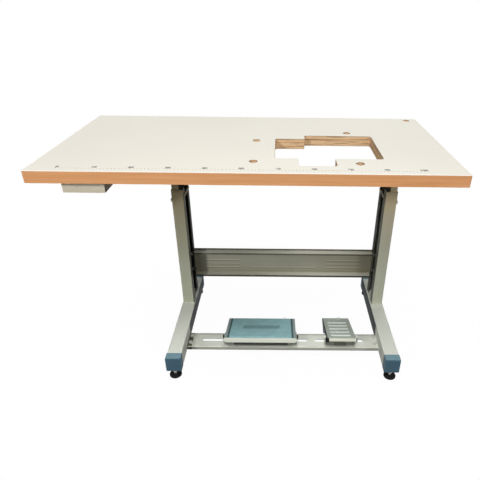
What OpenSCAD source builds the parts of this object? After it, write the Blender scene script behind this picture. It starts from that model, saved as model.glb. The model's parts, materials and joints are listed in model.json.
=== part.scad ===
// Sewing machine table: a laminated top with a machine cut-out, on a steel stand
// with telescopic columns, a pedal bar, a treadle and a small lifting pedal.
// Millimetres. The origin is on the floor under the middle of the table top,
// with X to the right, Y to the back and Z up.

/* [Table top] */
// Width of the table top
top_w = 1200; // [1160:5:1300]
// Depth of the table top
top_d = 600; // [580:5:660]
// Height of the work surface above the floor
top_h = 760; // [740:5:800]
// Thickness of the finished top
top_t = 34; // [28:1:40]
// Thickness of the laminate on the work surface
laminate_t = 1; // [0.6:0.1:1.6]
// Thickness of the backing sheet on the underside
backing_t = 0.8; // [0.5:0.1:1.5]
// Thickness of the edge band
band_t = 1.5; // [1:0.1:2]
// Corner radius of the top, seen from above
corner_r = 3; // [2.5:0.5:12]

/* [Machine cut-out] */
// Left edge of the cut-out, from the middle of the top
cut_left = 70; // [60:1:80]
// Front edge of the cut-out, from the middle of the top
cut_front = -174; // [-180:1:-165]
// Width of the cut-out
cut_w = 319; // [300:1:330]
// Depth of the deeper right part
cut_d = 232; // [215:1:245]
// Width of the shallower left part
step_w = 96; // [80:1:120]
// How much shallower the left part is
step_d = 38; // [20:1:60]
// Distance of the front tab from the left edge of the cut-out
tab_x = 69; // [50:1:90]
// Width of the front tab
tab_w = 108; // [90:1:130]
// Depth of the front tab
tab_d = 63; // [40:1:75]
// Corner radius of the cut-out
cut_r = 9; // [4:0.5:15]

/* [Round holes] */
// Diameter of the round holes through the top
hole_d = 25; // [18:0.5:32]
// Distance of the two left holes from the left edge of the cut-out
side_hole_gap = 60.5; // [45:0.5:70]
// Distance of the rear left hole behind the front edge of the cut-out
side_hole_rear = 173; // [140:1:200]
// Distance of the front left hole before the front edge of the cut-out
side_hole_front = 29; // [0:1:60]
// Distance of the front and rear holes from the left edge of the cut-out
end_hole_x = 243; // [200:1:270]
// Distance of the front hole before the front edge of the cut-out
front_hole_gap = 40.5; // [35:0.5:60]
// Distance of the rear hole behind the rear edge of the cut-out
rear_hole_gap = 36; // [25:1:80]
// Distance of the corner hole from the right end of the top
corner_hole_x = 40; // [30:1:60]
// Distance of the corner hole from the rear edge of the top
corner_hole_y = 27; // [24:1:60]

/* [Drawer] */
// Width of the drawer
drawer_w = 119; // [100:1:130]
// Length of the drawer
drawer_l = 360; // [300:5:400]
// Height of the drawer's front
drawer_h = 42; // [36:1:60]
// Wall of the drawer
drawer_wall = 1.8; // [1:0.1:3]
// Distance of the drawer's middle from the left end of the top
drawer_inset = 137; // [120:1:160]
// Distance of the drawer's front from the front edge of the top
drawer_setback = 41; // [20:1:60]
// Width of the drawer's rim, which hangs in the rails
rim_w = 8; // [6:0.5:12]
// Sheet thickness of the rails
rail_t = 1.5; // [1:0.1:2.5]
// How far the rails hang below the underside
rail_drop = 12; // [10:0.5:18]

/* [Stand] */
// Distance of the stand's middle to the right of the middle of the top
stand_x = 103.5; // [80:0.5:120]
// Distance between the middles of the two feet
leg_spacing = 750; // [700:5:800]
// Sheet thickness of feet, columns and posts
sheet_t = 2.5; // [2:0.1:3]

/* [Feet] */
// Width of a foot
foot_w = 50; // [46:1:60]
// Height of a foot's channel
foot_h = 60; // [50:1:70]
// Height of the foot's underside above the floor
foot_z = 30; // [27:1:40]
// Front end of the feet, at the caps
foot_front = -292; // [-297:1:-285]
// Length of a foot over both caps
foot_len = 520; // [500:5:560]
// Width of the inward lips under the foot
foot_lip = 11; // [6:1:16]
// Length of an end cap outside the channel
cap_len = 26; // [22:1:34]
// How far a cap stands proud of the channel
cap_proud = 1.5; // [0.5:0.5:3]
// Length of the plug that holds a cap in the channel
plug_len = 22; // [15:1:30]
// Diameter of the levelling stud
stud_d = 10; // [8:1:12]
// Diameter of the glide's rubber pad
pad_d = 42; // [34:1:48]
// Diameter of the pad's sole on the floor
pad_sole_d = 32; // [26:1:33]
// Height of the glide's rubber pad, with its boss
pad_h = 12; // [10:0.5:12.5]

/* [Columns and posts] */
// Width of a column, across the table
col_w = 42; // [38:1:46]
// Depth of a column, front to back
col_d = 105; // [90:1:120]
// Front face of the columns, from the middle of the top
col_front = 20; // [0:1:40]
// Height of the column's upper end above the floor
col_top = 575; // [555:5:590]
// Width of the lips that turn in at the column's open side
col_lip = 28; // [20:1:34]
// Running gap between a post and its column
post_gap = 0.4; // [0.3:0.1:0.6]
// Width of a post, across the table
post_w = 25; // [21:1:33]
// Height of the post's lower end above the floor
post_foot_z = 340; // [320:5:360]
// How far the top can be raised
raise = 100; // [80:5:110]
// How far the top can be lowered
lower = 40; // [20:5:45]
// Height of the strap that ties the column's open side
strap_h = 8; // [6:1:14]
// Distance of the strap's upper edge below the column's upper end
strap_drop = 21; // [10:1:25]
// Distance of the clamp bolts below the column's upper end
clamp_drop = 46; // [42:1:56]
// Length of the arm under the top
arm_len = 430; // [400:5:460]
// Width of the arm under the top
arm_w = 50; // [44:1:60]
// Height of the arm's side walls
arm_h = 20; // [16:1:26]

/* [Cross brace] */
// Height of the brace's lower edge above the floor
brace_z = 165; // [150:1:180]
// Height of the brace
brace_h = 116; // [100:1:130]
// Depth of the brace's rims
brace_rim = 26; // [20:1:30]
// Sheet thickness of the brace
brace_t = 2; // [1.5:0.1:3]
// Length of the brace behind each column
brace_tail = 30; // [26:1:34]
// Distance between the two bolts at each end
brace_pitch = 72; // [60:1:80]

/* [Pedal bar] */
// Front edge of the pedal bar
bar_front = -183; // [-190:1:-175]
// Depth of the pedal bar
bar_d = 75; // [70:1:85]
// Height of the pedal bar
bar_h = 16; // [14:1:24]
// Length of each slot in the bar
slot_len = 181; // [160:1:190]
// Width of each slot in the bar
slot_w = 13; // [10:0.5:16]
// Distance between the middles of neighbouring slots
slot_pitch = 208; // [204:1:220]

/* [Pedals] */
// Height of the pedal pivots above the bar
pivot_h = 34; // [32:1:40]
// Distance of the pedal pivots behind the bar's front edge
pivot_y = 18; // [16:1:24]
// Thickness of the pedal brackets
bracket_t = 3; // [2.5:0.5:4]
// Width of the treadle between its side edges
treadle_w = 257; // [235:1:262]
// Middle of the treadle, to the left of the stand's middle
treadle_off = 81.5; // [70:0.5:90]
// Length of the treadle, without its front roll
treadle_l = 176; // [160:1:190]
// How far the treadle reaches in front of its pivot
treadle_nose = 37; // [32:1:45]
// Resting tilt of the treadle, front edge up
treadle_tilt = 15.6; // [5:0.2:18]
// Width of the treadle's rubber mat over its thin border
mat_w = 238; // [210:1:245]
// Width of the mat's thin border
mat_border = 7; // [4:0.5:10]
// Thickness of the rubber mat
mat_t = 3; // [2:0.5:4]
// Width of the lifting pedal
lift_w = 104; // [95:1:110]
// Middle of the lifting pedal, to the right of the stand's middle
lift_off = 209.5; // [200:0.5:216]
// Length of the lifting pedal, without its front roll
lift_l = 196; // [180:1:205]
// How far the lifting pedal reaches in front of its pivot
lift_nose = 36; // [32:1:45]
// Resting tilt of the lifting pedal, front edge up
lift_tilt = 17.5; // [5:0.5:19]
// Depth of the lifting pedal's cheeks at their corner behind the bar
lift_cheek = 40; // [24:1:42]
// Number of raised grip ribs on the lifting pedal
rib_count = 5; // [3:1:6]
// Diameter of the pedals' rolled front edges
roll_d = 12; // [10:0.5:14]

/* [Hidden] */
$fn = 48;

// Paint and material colours
paint = [0.78, 0.79, 0.73];
paint_dark = [0.62, 0.63, 0.58];
zinc = [0.72, 0.72, 0.70];
black = [0.08, 0.08, 0.09];
cap_blue = [0.24, 0.37, 0.44];
mat_blue = [0.48, 0.62, 0.63];
wood = [0.80, 0.63, 0.44];
band_wood = [0.83, 0.60, 0.41];
white_top = [0.93, 0.92, 0.88];
drawer_grey = [0.77, 0.73, 0.65];

// Small clearance between touching pieces that move, and overlap for cuts
clear = 0.3;
run = 0.05;
e = 1;

// Fasteners
bolt_d = 8;
bolt_hole_d = 9;
hex_af = 13;
head_h = 5.3;
nut_h = 6.5;
washer_d = 16;
washer_t = 1.6;
flange_over = 4;
flange_t = 1.5;
hex_slope = 30;
hex_ease = 0.6;
core_of_thread = 0.8;
arm_screw_len = 16;
rail_screw_len = 12.5;
pilot_spare = 1;

// Heights in the top
under_z = top_h - top_t;
core_z = under_z + backing_t;
core_t = top_t - laminate_t - backing_t;

// The round holes through the top: left of, behind and in front of the cut-out,
// and one for a thread stand near the rear right corner
hole_spots = [
  [cut_left - side_hole_gap, cut_front + side_hole_rear],
  [cut_left - side_hole_gap, cut_front - side_hole_front],
  [cut_left + end_hole_x, cut_front + cut_d + rear_hole_gap],
  [cut_left + end_hole_x, cut_front - front_hole_gap],
  [top_w / 2 - corner_hole_x, top_d / 2 - corner_hole_y]];

// Drawer and rails
drawer_x = -top_w / 2 + drawer_inset;
drawer_y = -top_d / 2 + drawer_setback;
rail_low = under_z - rail_drop;
rim_z = rail_low + rail_t + clear;
drawer_gap = 2;
drawer_top = under_z - drawer_gap;
drawer_low = drawer_top - drawer_h;
rail_flange = 12;
rail_screw_d = 4;
rail_screw_count = 3;
rail_x = drawer_w / 2 + rim_w + clear;
rail_screw_in = 5;
rail_screw_x = rail_x + rail_flange - rail_screw_in;
rail_in = 6;
rail_short = 8;
rail_l = drawer_l - rail_short;
rail_screw_end = 20;

// Feet and glides
foot_top = foot_z + foot_h;
foot_rear = foot_front + foot_len;
channel_front = foot_front + cap_len;
channel_rear = foot_rear - cap_len;
cap_low = foot_z - cap_proud;
cap_h = foot_h + 2 * cap_proud;
cap_low_r = 8;
cap_top_r = 3;
cap_groove = 0.8;
cap_groove_h = 1.4;
cap_wall = 4;
glide_in = 15;
stud_reach = 36;
stud_top = foot_z + stud_reach;
stud_rise = 12.5;
stud_foot = 4;
stud_boss_d = stud_d + 10;
pad_taper_h = 4;
pad_rim_h = 9;
pad_edge = 1;
bush_d = stud_d + 5;
bush_h = 24;
nut_af = 17;
jam_h = 5;

// Columns and posts
col_back = col_front + col_d;
post_d = col_d - 2 * sheet_t - 2 * post_gap;
post_front = col_front + sheet_t + post_gap;
post_x = col_w / 2 - sheet_t - post_gap;
arm_t = 3;
strap_t = 4;
strap_lap = 14;
clamp_grip = 2 * sheet_t + 2 * post_gap;
post_top = under_z - arm_t;
clamp_z = col_top - clamp_drop;
clamp_in = 18;
slot_clear = 5;
arm_shift = 7;
arm_mid = (col_front + col_back) / 2 - arm_shift;
arm_y0 = arm_mid - arm_len / 2;
arm_y1 = arm_mid + arm_len / 2;
arm_taper = 30;
arm_end_screw = 18;
arm_inner_screw = 75;
gusset_l = 70;
gusset_t = 4;
wood_screw_d = 5;

// Cross brace
brace_top = brace_z + brace_h;
brace_upstand = 6;
brace_drop = 8;
brace_lip = 5;
brace_inner = leg_spacing / 2 - col_w / 2 - 0.5;
brace_bolt_in = 10;
brace_bolt_x = leg_spacing / 2 - brace_bolt_in;
brace_bolt_up = 23;
brace_bolt_z = brace_z + brace_bolt_up;
brace_weld = 0.5;
emboss_h = 8;
emboss_t = 1.5;
emboss_l = 142;
emboss_pitch = 16.5;
emboss_x = 244;
emboss_long = 271;
emboss_up = 30;
emboss_z = brace_z + emboss_up;
emboss_skin = 3;

// Pedal bar
bar_top = foot_z + bar_h;
bar_t = 2.5;
bar_end = leg_spacing / 2 - foot_w / 2 - clear;
bar_mid = bar_front + bar_d / 2;
bar_bolt_in = 11;
bar_bolt_x = leg_spacing / 2 - foot_w / 2 - bar_bolt_in;
bar_bolt_y = 18;
shelf_l = 25;
shelf_t = 2.5;
shelf_over = 10;
shelf_leg = 6;

// Pedals
pedal_y = bar_front + pivot_y;
pedal_z = bar_top + pivot_h;
pin_d = 8;
pivot_nut_h = 4;
pedal_t = 2;
ear_r = 9;
ear_lean = 20;
ear_low = 0.7;
bracket_toe = 8;
treadle_x = stand_x - treadle_off;
lift_x = stand_x + lift_off;
treadle_up = 10.7;
lift_up = 10.3;
treadle_skirt = 12;
lift_skirt = 20;
lift_rear = 8;
lift_cheek_y = 102;
foot_bolt_in = 18.5;
base_w = 30;
base_l = 50;
base_shift = 2;
mat_margin = 5;
mat_border_t = 1.2;
mat_r = 3;
chain_d = 6;
stud_hex = chain_d + 4;
stud_collar_d = chain_d + 3;
stud_collar_h = 4;
stud_hole_d = chain_d + 0.4;
rod_x = 88;
stud_in = pedal_t + stud_hex / 2 + clear;
stud_nut_h = 4;
stud_over = 6;
chain_x = 12;
stop_t = 4;
stop_in = 9;
apron_over = 6;
apron_h = 12;
apron_rise = 5;
apron_bevel = 12;
rib_h = 1.5;
rib_w = 8;
rib_first = 27;
rib_last = 50;
rib_margin = 16;

// A rectangle with true round corners
module round_rect(w, d, r) {
  square([w - 2 * r, d], center = true);
  square([w, d - 2 * r], center = true);
  for (x = [-1, 1], y = [-1, 1])
    translate([x * (w / 2 - r), y * (d / 2 - r)]) circle(r);
}

// A round-ended slot along X, given end to end
module slot_shape(l, w) {
  square([l - w, w], center = true);
  for (x = [-1, 1])
    translate([x * (l - w) / 2, 0]) circle(d = w);
}

// A rectangle placed by its lowest corner
module corner_rect(x, y, w, d, r) {
  translate([x + w / 2, y + d / 2]) round_rect(w, d, r);
}

// A hexagonal prism across flats, standing on z = 0
module hex(af, h) {
  cylinder(d = af / cos(30), h = h, $fn = 6);
}

// The same prism with the upper corners eased by a cone
module eased_hex(af, h) {
  wide = af / cos(30) + clear;
  narrow = af - hex_ease;
  ease_h = (wide - narrow) / 2 * tan(hex_slope);
  intersection() {
    hex(af, h);
    union() {
      cylinder(d = wide, h = h - ease_h);
      translate([0, 0, h - ease_h]) cylinder(d1 = wide, d2 = narrow, h = ease_h);
    }
  }
}

// A hexagon bolt: the head stands on z = 0 and the shank goes down
module bolt(len, d = bolt_d, af = hex_af, h = head_h) {
  eased_hex(af, h);
  translate([0, 0, -len]) cylinder(d = d, h = len + 0.1);
}

// A plain nut under z = 0, on a shank that comes down through it
module plain_nut(d, af, h) {
  difference() {
    mirror([0, 0, 1]) eased_hex(af, h);
    translate([0, 0, -h - e]) cylinder(d = d + 2 * run, h = h + 2 * e);
  }
}

// A nut with a flange, also under z = 0
module flange_nut() {
  difference() {
    union() {
      mirror([0, 0, 1]) eased_hex(hex_af, nut_h);
      translate([0, 0, -flange_t]) cylinder(d = hex_af + flange_over, h = flange_t);
    }
    translate([0, 0, -nut_h - e]) cylinder(d = bolt_d + 2 * run, h = nut_h + 2 * e);
  }
}

// A flat washer lying on z = 0
module washer() {
  difference() {
    cylinder(d = washer_d, h = washer_t);
    translate([0, 0, -e]) cylinder(d = bolt_d + 0.4, h = washer_t + 2 * e);
  }
}

// A pan head wood screw: head under z = 0, shank going up
module wood_screw(len, d) {
  shank = d * core_of_thread;
  difference() {
    union() {
      cylinder(d = shank, h = len - shank / 2);
      translate([0, 0, len - shank / 2]) cylinder(d1 = shank, d2 = shank / 4, h = shank / 2);
      translate([0, 0, -1.2]) cylinder(d = d * 2, h = 1.2);
      translate([0, 0, -2.4]) cylinder(d1 = d * 1.3, d2 = d * 2, h = 1.2);
    }
    translate([0, 0, -2.4]) cube([d * 1.1, 0.8, 1.6], center = true);
    translate([0, 0, -2.4]) cube([0.8, d * 1.1, 1.6], center = true);
  }
}

// The pilot hole of such a screw, from the underside of the top
module pilot_hole(depth, d) {
  translate([0, 0, -e]) cylinder(d = d * core_of_thread + 2 * run, h = depth + e);
}

// Puts a leg's piece at its place: its own +X points outward
module on_leg(side) {
  translate([stand_x + side * leg_spacing / 2, 0, 0])
    mirror([side < 0 ? 1 : 0, 0, 0])
      children();
}

// Table top

module cut_shape() {
  corner_rect(cut_left, cut_front, cut_w, cut_d - step_d, cut_r);
  corner_rect(cut_left + step_w, cut_front, cut_w - step_w, cut_d, cut_r);
  corner_rect(cut_left + tab_x, cut_front - tab_d, tab_w, tab_d + 3 * cut_r, cut_r);
}

module top_openings() {
  cut_shape();
  for (p = hole_spots)
    translate(p) circle(d = hole_d);
}

module board(z, t, inset) {
  translate([0, 0, z])
    linear_extrude(t)
      difference() {
        round_rect(top_w - 2 * inset, top_d - 2 * inset, corner_r - inset);
        top_openings();
      }
}

module pilot_holes() {
  for (side = [-1, 1])
    on_leg(side)
      for (y = arm_screw_ys())
        translate([0, y, under_z])
          pilot_hole(arm_screw_len - arm_t + pilot_spare, wood_screw_d);
  on_rail_screws()
    translate([0, 0, rail_t])
      pilot_hole(rail_screw_len - rail_t + pilot_spare, rail_screw_d);
}

module tabletop_core() {
  color(wood)
    difference() {
      board(core_z, core_t, band_t);
      pilot_holes();
    }
}

module top_laminate() {
  color(white_top) board(top_h - laminate_t, laminate_t, band_t);
}

module bottom_laminate() {
  color(white_top)
    difference() {
      board(under_z, backing_t, band_t);
      pilot_holes();
    }
}

module edge_band() {
  color(band_wood)
    translate([0, 0, under_z])
      linear_extrude(top_t)
        difference() {
          round_rect(top_w, top_d, corner_r);
          round_rect(top_w - 2 * band_t, top_d - 2 * band_t, corner_r - band_t);
        }
}

// Arms, posts and columns

function arm_screw_ys() =
  [arm_y0 + arm_end_screw, arm_y0 + arm_inner_screw,
   arm_y1 - arm_inner_screw, arm_y1 - arm_end_screw];

module arm_side() {
  rotate([90, 0, 90])
    linear_extrude(arm_t)
      polygon([
        [arm_y0, -arm_t / 2], [arm_y1, -arm_t / 2], [arm_y1, -arm_t - 2],
        [arm_y1 - arm_taper, -arm_h], [arm_y0 + arm_taper, -arm_h],
        [arm_y0, -arm_t - 2]]);
}

module arm_gusset(y, dir) {
  translate([post_x - post_w / 2 - gusset_t / 2, y, -arm_t])
    rotate([90, 0, 90])
      linear_extrude(gusset_t)
        polygon([[0, 0.5], [dir * gusset_l, 0.5], [dir * gusset_l, -6], [dir * 6, -gusset_l],
          [0, -gusset_l]]);
}

module table_bracket(side) {
  color(paint)
    on_leg(side)
      translate([0, 0, under_z])
        difference() {
          union() {
            translate([-arm_w / 2, arm_y0, -arm_t]) cube([arm_w, arm_len, arm_t]);
            translate([-arm_w / 2, 0, 0]) arm_side();
            translate([arm_w / 2 - arm_t, 0, 0]) arm_side();
            arm_gusset(post_front, -1);
            arm_gusset(post_front + post_d, 1);
          }
          for (y = arm_screw_ys())
            translate([0, y, -arm_t - e]) cylinder(d = wood_screw_d + 0.5, h = arm_t + 2 * e);
        }
}

module bracket_screws() {
  color(zinc)
    for (side = [-1, 1])
      on_leg(side)
        for (y = arm_screw_ys())
          translate([0, y, under_z - arm_t])
            wood_screw(arm_screw_len, wood_screw_d);
}

// A lipless channel with its web outward and two clamp slots in the web
module inner_post(side) {
  slot_l = raise + lower + bolt_hole_d + 2 * slot_clear;
  slot_mid = clamp_z + (lower - raise) / 2;
  color(paint_dark)
    on_leg(side)
      difference() {
        translate([post_x - post_w, post_front, post_foot_z])
          cube([post_w, post_d, post_top - post_foot_z]);
        translate([post_x - post_w - e, post_front + sheet_t, post_foot_z - e])
          cube([post_w - sheet_t + e, post_d - 2 * sheet_t, post_top - post_foot_z + 2 * e]);
        for (y = [col_front + clamp_in, col_back - clamp_in])
          translate([post_x - sheet_t - e, y, slot_mid])
            rotate([0, 90, 0])
              linear_extrude(sheet_t + 2 * e)
                slot_shape(slot_l, bolt_hole_d);
      }
}

// A lipped channel with its web outward
module column_section() {
  difference() {
    round_rect(col_w, col_d, 3);
    round_rect(col_w - 2 * sheet_t, col_d - 2 * sheet_t, 1);
    translate([-col_w / 2, 0])
      square([4 * sheet_t, col_d - 2 * col_lip], center = true);
  }
}

module column(side) {
  color(paint)
    on_leg(side)
      difference() {
        translate([0, col_front + col_d / 2, foot_top])
          linear_extrude(col_top - foot_top)
            column_section();
        for (y = [col_front + clamp_in, col_back - clamp_in])
          translate([col_w / 2 - sheet_t - e, y, clamp_z])
            rotate([0, 90, 0])
              cylinder(d = bolt_hole_d, h = sheet_t + 2 * e);
        for (z = [0, brace_pitch])
          translate([-10, col_back + e, brace_bolt_z + z])
            rotate([90, 0, 0])
              cylinder(d = bolt_hole_d, h = sheet_t + 2 * e);
      }
}

// The flat bar that ties the column's lips near its upper end
module column_straps() {
  strap_l = col_d - 2 * col_lip + 2 * strap_lap;
  color(paint)
    for (side = [-1, 1])
      on_leg(side)
        translate([-col_w / 2 - strap_t, col_front + (col_d - strap_l) / 2,
            col_top - strap_drop - strap_h])
          cube([strap_t, strap_l, strap_h]);
}

module on_clamps() {
  for (side = [-1, 1])
    on_leg(side)
      for (y = [col_front + clamp_in, col_back - clamp_in])
        translate([col_w / 2, y, clamp_z])
          rotate([0, 90, 0])
            children();
}

module clamp_bolts() {
  color(zinc)
    on_clamps()
      translate([0, 0, washer_t])
        bolt(washer_t + clamp_grip + washer_t + nut_h + 2);
}

module clamp_washers() {
  color(zinc)
    on_clamps() {
      washer();
      translate([0, 0, -clamp_grip - washer_t]) washer();
    }
}

module clamp_nuts() {
  color(zinc)
    on_clamps()
      translate([0, 0, -clamp_grip - washer_t])
        flange_nut();
}

// Feet, caps and glides

module foot_section() {
  difference() {
    round_rect(foot_w, foot_h, 4);
    round_rect(foot_w - 2 * sheet_t, foot_h - 2 * sheet_t, 1.5);
    translate([0, -foot_h / 2])
      square([foot_w - 2 * foot_lip, 4 * sheet_t], center = true);
  }
}

module foot(side) {
  color(paint)
    on_leg(side)
      translate([0, channel_rear, foot_z + foot_h / 2])
        rotate([90, 0, 0])
          linear_extrude(channel_rear - channel_front)
            foot_section();
}

// Puts a front (-1) or rear (1) cap's piece at its end: its own -Y points out of the foot
module on_foot_end(side, way) {
  on_leg(side)
    translate([0, way < 0 ? foot_front : foot_rear, 0])
      mirror([0, way < 0 ? 0 : 1, 0])
        children();
}

// Outline of the cap from the side: round nose, with a groove under its upper edge
module cap_side() {
  difference() {
    union() {
      translate([cap_low_r, 0]) square([cap_len - cap_low_r, cap_h]);
      translate([0, cap_low_r]) square([cap_len, cap_h - cap_low_r - cap_top_r]);
      translate([cap_top_r, cap_h / 2]) square([cap_len - cap_top_r, cap_h / 2]);
      translate([cap_low_r, cap_low_r]) circle(cap_low_r);
      translate([cap_top_r, cap_h - cap_top_r]) circle(cap_top_r);
    }
    translate([-e, cap_h - cap_top_r - cap_groove_h]) square([e + cap_groove, cap_groove_h]);
  }
}

// Outline of the cap from the front, with rounder lower corners
module cap_front(w) {
  translate([-w / 2, cap_low_r]) square([w, cap_h - cap_low_r - cap_top_r]);
  translate([-w / 2 + cap_low_r, 0]) square([w - 2 * cap_low_r, cap_h / 2]);
  translate([-w / 2 + cap_top_r, cap_h / 2]) square([w - 2 * cap_top_r, cap_h / 2]);
  for (side = [-1, 1]) {
    translate([side * (w / 2 - cap_low_r), cap_low_r]) circle(cap_low_r);
    translate([side * (w / 2 - cap_top_r), cap_h - cap_top_r]) circle(cap_top_r);
  }
}

module foot_cap(side, way) {
  w = foot_w + 2 * cap_proud;
  plug_w = foot_w - 2 * sheet_t - 2 * clear;
  plug_h = foot_h - 2 * sheet_t - 2 * clear;
  color(cap_blue)
    on_foot_end(side, way)
      difference() {
        union() {
          intersection() {
            translate([-w / 2, 0, cap_low])
              rotate([90, 0, 90])
                linear_extrude(w)
                  cap_side();
            translate([0, cap_len, cap_low])
              rotate([90, 0, 0])
                linear_extrude(cap_len + e)
                  cap_front(w);
          }
          translate([0, cap_len - 0.5, foot_z + foot_h / 2])
            rotate([-90, 0, 0])
              linear_extrude(plug_len + 0.5)
                difference() {
                  round_rect(plug_w, plug_h, 1.5);
                  round_rect(plug_w - 2 * cap_wall, plug_h - 2 * cap_wall, 1.5);
                }
        }
        translate([0, glide_in, cap_low - e]) cylinder(d = bush_d + 2 * run, h = bush_h + e);
        translate([0, glide_in, cap_low])
          cylinder(d = stud_d + 2, h = stud_top - cap_low + stud_rise);
      }
}

module on_glides() {
  for (side = [-1, 1], way = [-1, 1])
    on_foot_end(side, way)
      translate([0, glide_in, 0])
        children();
}

module glide_bushes() {
  color(zinc)
    on_glides()
      translate([0, 0, cap_low])
        difference() {
          cylinder(d = bush_d, h = bush_h);
          translate([0, 0, -e]) cylinder(d = stud_d, h = bush_h + 2 * e);
        }
}

module glide_nuts() {
  color(zinc)
    on_glides()
      translate([0, 0, cap_low])
        difference() {
          mirror([0, 0, 1]) eased_hex(nut_af, jam_h);
          translate([0, 0, -jam_h - e]) cylinder(d = stud_d, h = jam_h + 2 * e);
        }
}

module glide_stud(side, way) {
  color(zinc)
    on_foot_end(side, way)
      translate([0, glide_in, 0]) {
        translate([0, 0, stud_foot]) cylinder(d = stud_d - 2 * run, h = stud_top - stud_foot - 1);
        translate([0, 0, stud_top - 1])
          cylinder(d1 = stud_d - 2 * run, d2 = stud_d - 2, h = 1);
      }
}

module glide_pad(side, way) {
  color(black)
    on_foot_end(side, way)
      translate([0, glide_in, 0])
        difference() {
          union() {
            cylinder(d1 = pad_sole_d, d2 = pad_d, h = pad_taper_h);
            translate([0, 0, pad_taper_h])
              cylinder(d = pad_d, h = pad_rim_h - pad_taper_h - pad_edge);
            translate([0, 0, pad_rim_h - pad_edge])
              cylinder(d1 = pad_d, d2 = pad_d - 2 * pad_edge, h = pad_edge);
            translate([0, 0, pad_rim_h]) cylinder(d = stud_boss_d, h = pad_h - pad_rim_h);
          }
          translate([0, 0, stud_foot]) cylinder(d = stud_d, h = pad_h);
        }
}

// Cross brace: a pan with rims to the front, bolted behind the columns

// The raised ribs; the hollow behind them is smaller by the skin
module embossing(skin) {
  for (side = [-1, 1], i = [0:2])
    translate([side * emboss_x, emboss_z + i * emboss_pitch])
      slot_shape(emboss_l - skin, emboss_h - skin);
  translate([0, emboss_z]) slot_shape(emboss_long - skin, emboss_h - skin);
}

module cross_brace() {
  tail = leg_spacing / 2 - col_w / 2 + brace_tail;
  rim_top = brace_top - brace_upstand;
  rim_low = brace_z + brace_drop;
  rim_front = col_back - brace_rim;
  color(paint)
    translate([stand_x, 0, 0])
      difference() {
        union() {
          translate([-tail, col_back, brace_z]) cube([2 * tail, brace_t, brace_h]);
          translate([-brace_inner, rim_front, rim_top - brace_t])
            cube([2 * brace_inner, brace_rim + brace_weld, brace_t]);
          translate([-brace_inner, rim_front, rim_top - brace_lip - brace_t])
            cube([2 * brace_inner, brace_t, brace_lip + brace_t]);
          translate([-brace_inner, rim_front, rim_low - brace_t])
            cube([2 * brace_inner, brace_rim + brace_weld, brace_t]);
          translate([-brace_inner, rim_front, brace_z])
            cube([2 * brace_inner, brace_t, brace_drop]);
          for (x = [-brace_inner, brace_inner - brace_t])
            translate([x, rim_front, rim_low - brace_t])
              cube([brace_t, brace_rim + brace_weld, rim_top - rim_low + brace_t]);
          translate([0, col_back + brace_weld, 0])
            rotate([90, 0, 0])
              linear_extrude(emboss_t + brace_weld)
                embossing(0);
        }
        translate([0, col_back + brace_t + e, 0])
          rotate([90, 0, 0])
            linear_extrude(emboss_t + e)
              embossing(emboss_skin);
        for (side = [-1, 1], z = [0, brace_pitch])
          translate([side * brace_bolt_x, col_back + brace_t + e, brace_bolt_z + z])
            rotate([90, 0, 0])
              cylinder(d = bolt_hole_d, h = brace_t + 2 * e);
      }
}

module on_brace_bolts() {
  for (side = [-1, 1], z = [0, brace_pitch])
    translate([stand_x + side * brace_bolt_x, 0, brace_bolt_z + z])
      children();
}

module brace_bolts() {
  color(zinc)
    on_brace_bolts()
      translate([0, col_back - sheet_t, 0])
        rotate([90, 0, 0])
          bolt(sheet_t + brace_t + nut_h + 2);
}

module brace_nuts() {
  color(zinc)
    on_brace_bolts()
      translate([0, col_back + brace_t, 0])
        rotate([90, 0, 0])
          flange_nut();
}

// Pedal bar on its shelves

module pedal_bar() {
  color(paint)
    translate([stand_x, bar_mid, 0])
      difference() {
        translate([-bar_end, 0, 0])
          rotate([90, 0, 90])
            linear_extrude(2 * bar_end)
              difference() {
                translate([0, foot_z + bar_h / 2]) round_rect(bar_d, bar_h, 3);
                translate([0, foot_z - bar_t])
                  translate([0, bar_h / 2]) round_rect(bar_d - 2 * bar_t, bar_h, 1);
                translate([-bar_d, foot_z - e]) square([2 * bar_d, e]);
                translate([0, foot_z]) square([bar_d - 2 * bar_t, 2 * bar_t], center = true);
              }
        for (i = [-1, 0, 1])
          translate([i * slot_pitch, 0, bar_top - 2 * bar_t])
            linear_extrude(4 * bar_t)
              slot_shape(slot_len, slot_w);
        for (side = [-1, 1], y = [-1, 1])
          translate([side * bar_bolt_x, y * bar_bolt_y, bar_top - 2 * bar_t])
            cylinder(d = bolt_hole_d, h = 4 * bar_t);
      }
}

// Angles welded to the feet, which carry the ends of the bar
module bar_shelves() {
  shelf_d = 2 * bar_bolt_y + 2 * shelf_over;
  shelf_z = bar_top - bar_t - shelf_t;
  color(paint)
    for (side = [-1, 1])
      on_leg(side)
        difference() {
          translate([-foot_w / 2, bar_mid - shelf_d / 2, 0]) {
            translate([-shelf_l, 0, shelf_z]) cube([shelf_l, shelf_d, shelf_t]);
            translate([-shelf_t, 0, shelf_z - shelf_leg])
              cube([shelf_t, shelf_d, shelf_leg + shelf_t]);
          }
          for (y = [-1, 1])
            translate([-foot_w / 2 - bar_bolt_in, bar_mid + y * bar_bolt_y, shelf_z - e])
              cylinder(d = bolt_hole_d, h = shelf_t + 2 * e);
        }
}

module on_bar_bolts() {
  for (side = [-1, 1], y = [-1, 1])
    translate([stand_x + side * bar_bolt_x, bar_mid + y * bar_bolt_y, 0])
      children();
}

module bar_bolts() {
  color(zinc)
    on_bar_bolts()
      translate([0, 0, bar_top])
        bolt(bar_t + shelf_t + nut_h + 1);
}

module bar_nuts() {
  color(zinc)
    on_bar_bolts()
      translate([0, 0, bar_top - bar_t - shelf_t])
        flange_nut();
}

// Pedals. A bracket has its base on the bar, under the pedal, and its ear outside

module on_pedal(x, tilt) {
  translate([x, pedal_y, pedal_z])
    rotate([-tilt, 0, 0])
      children();
}

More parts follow.
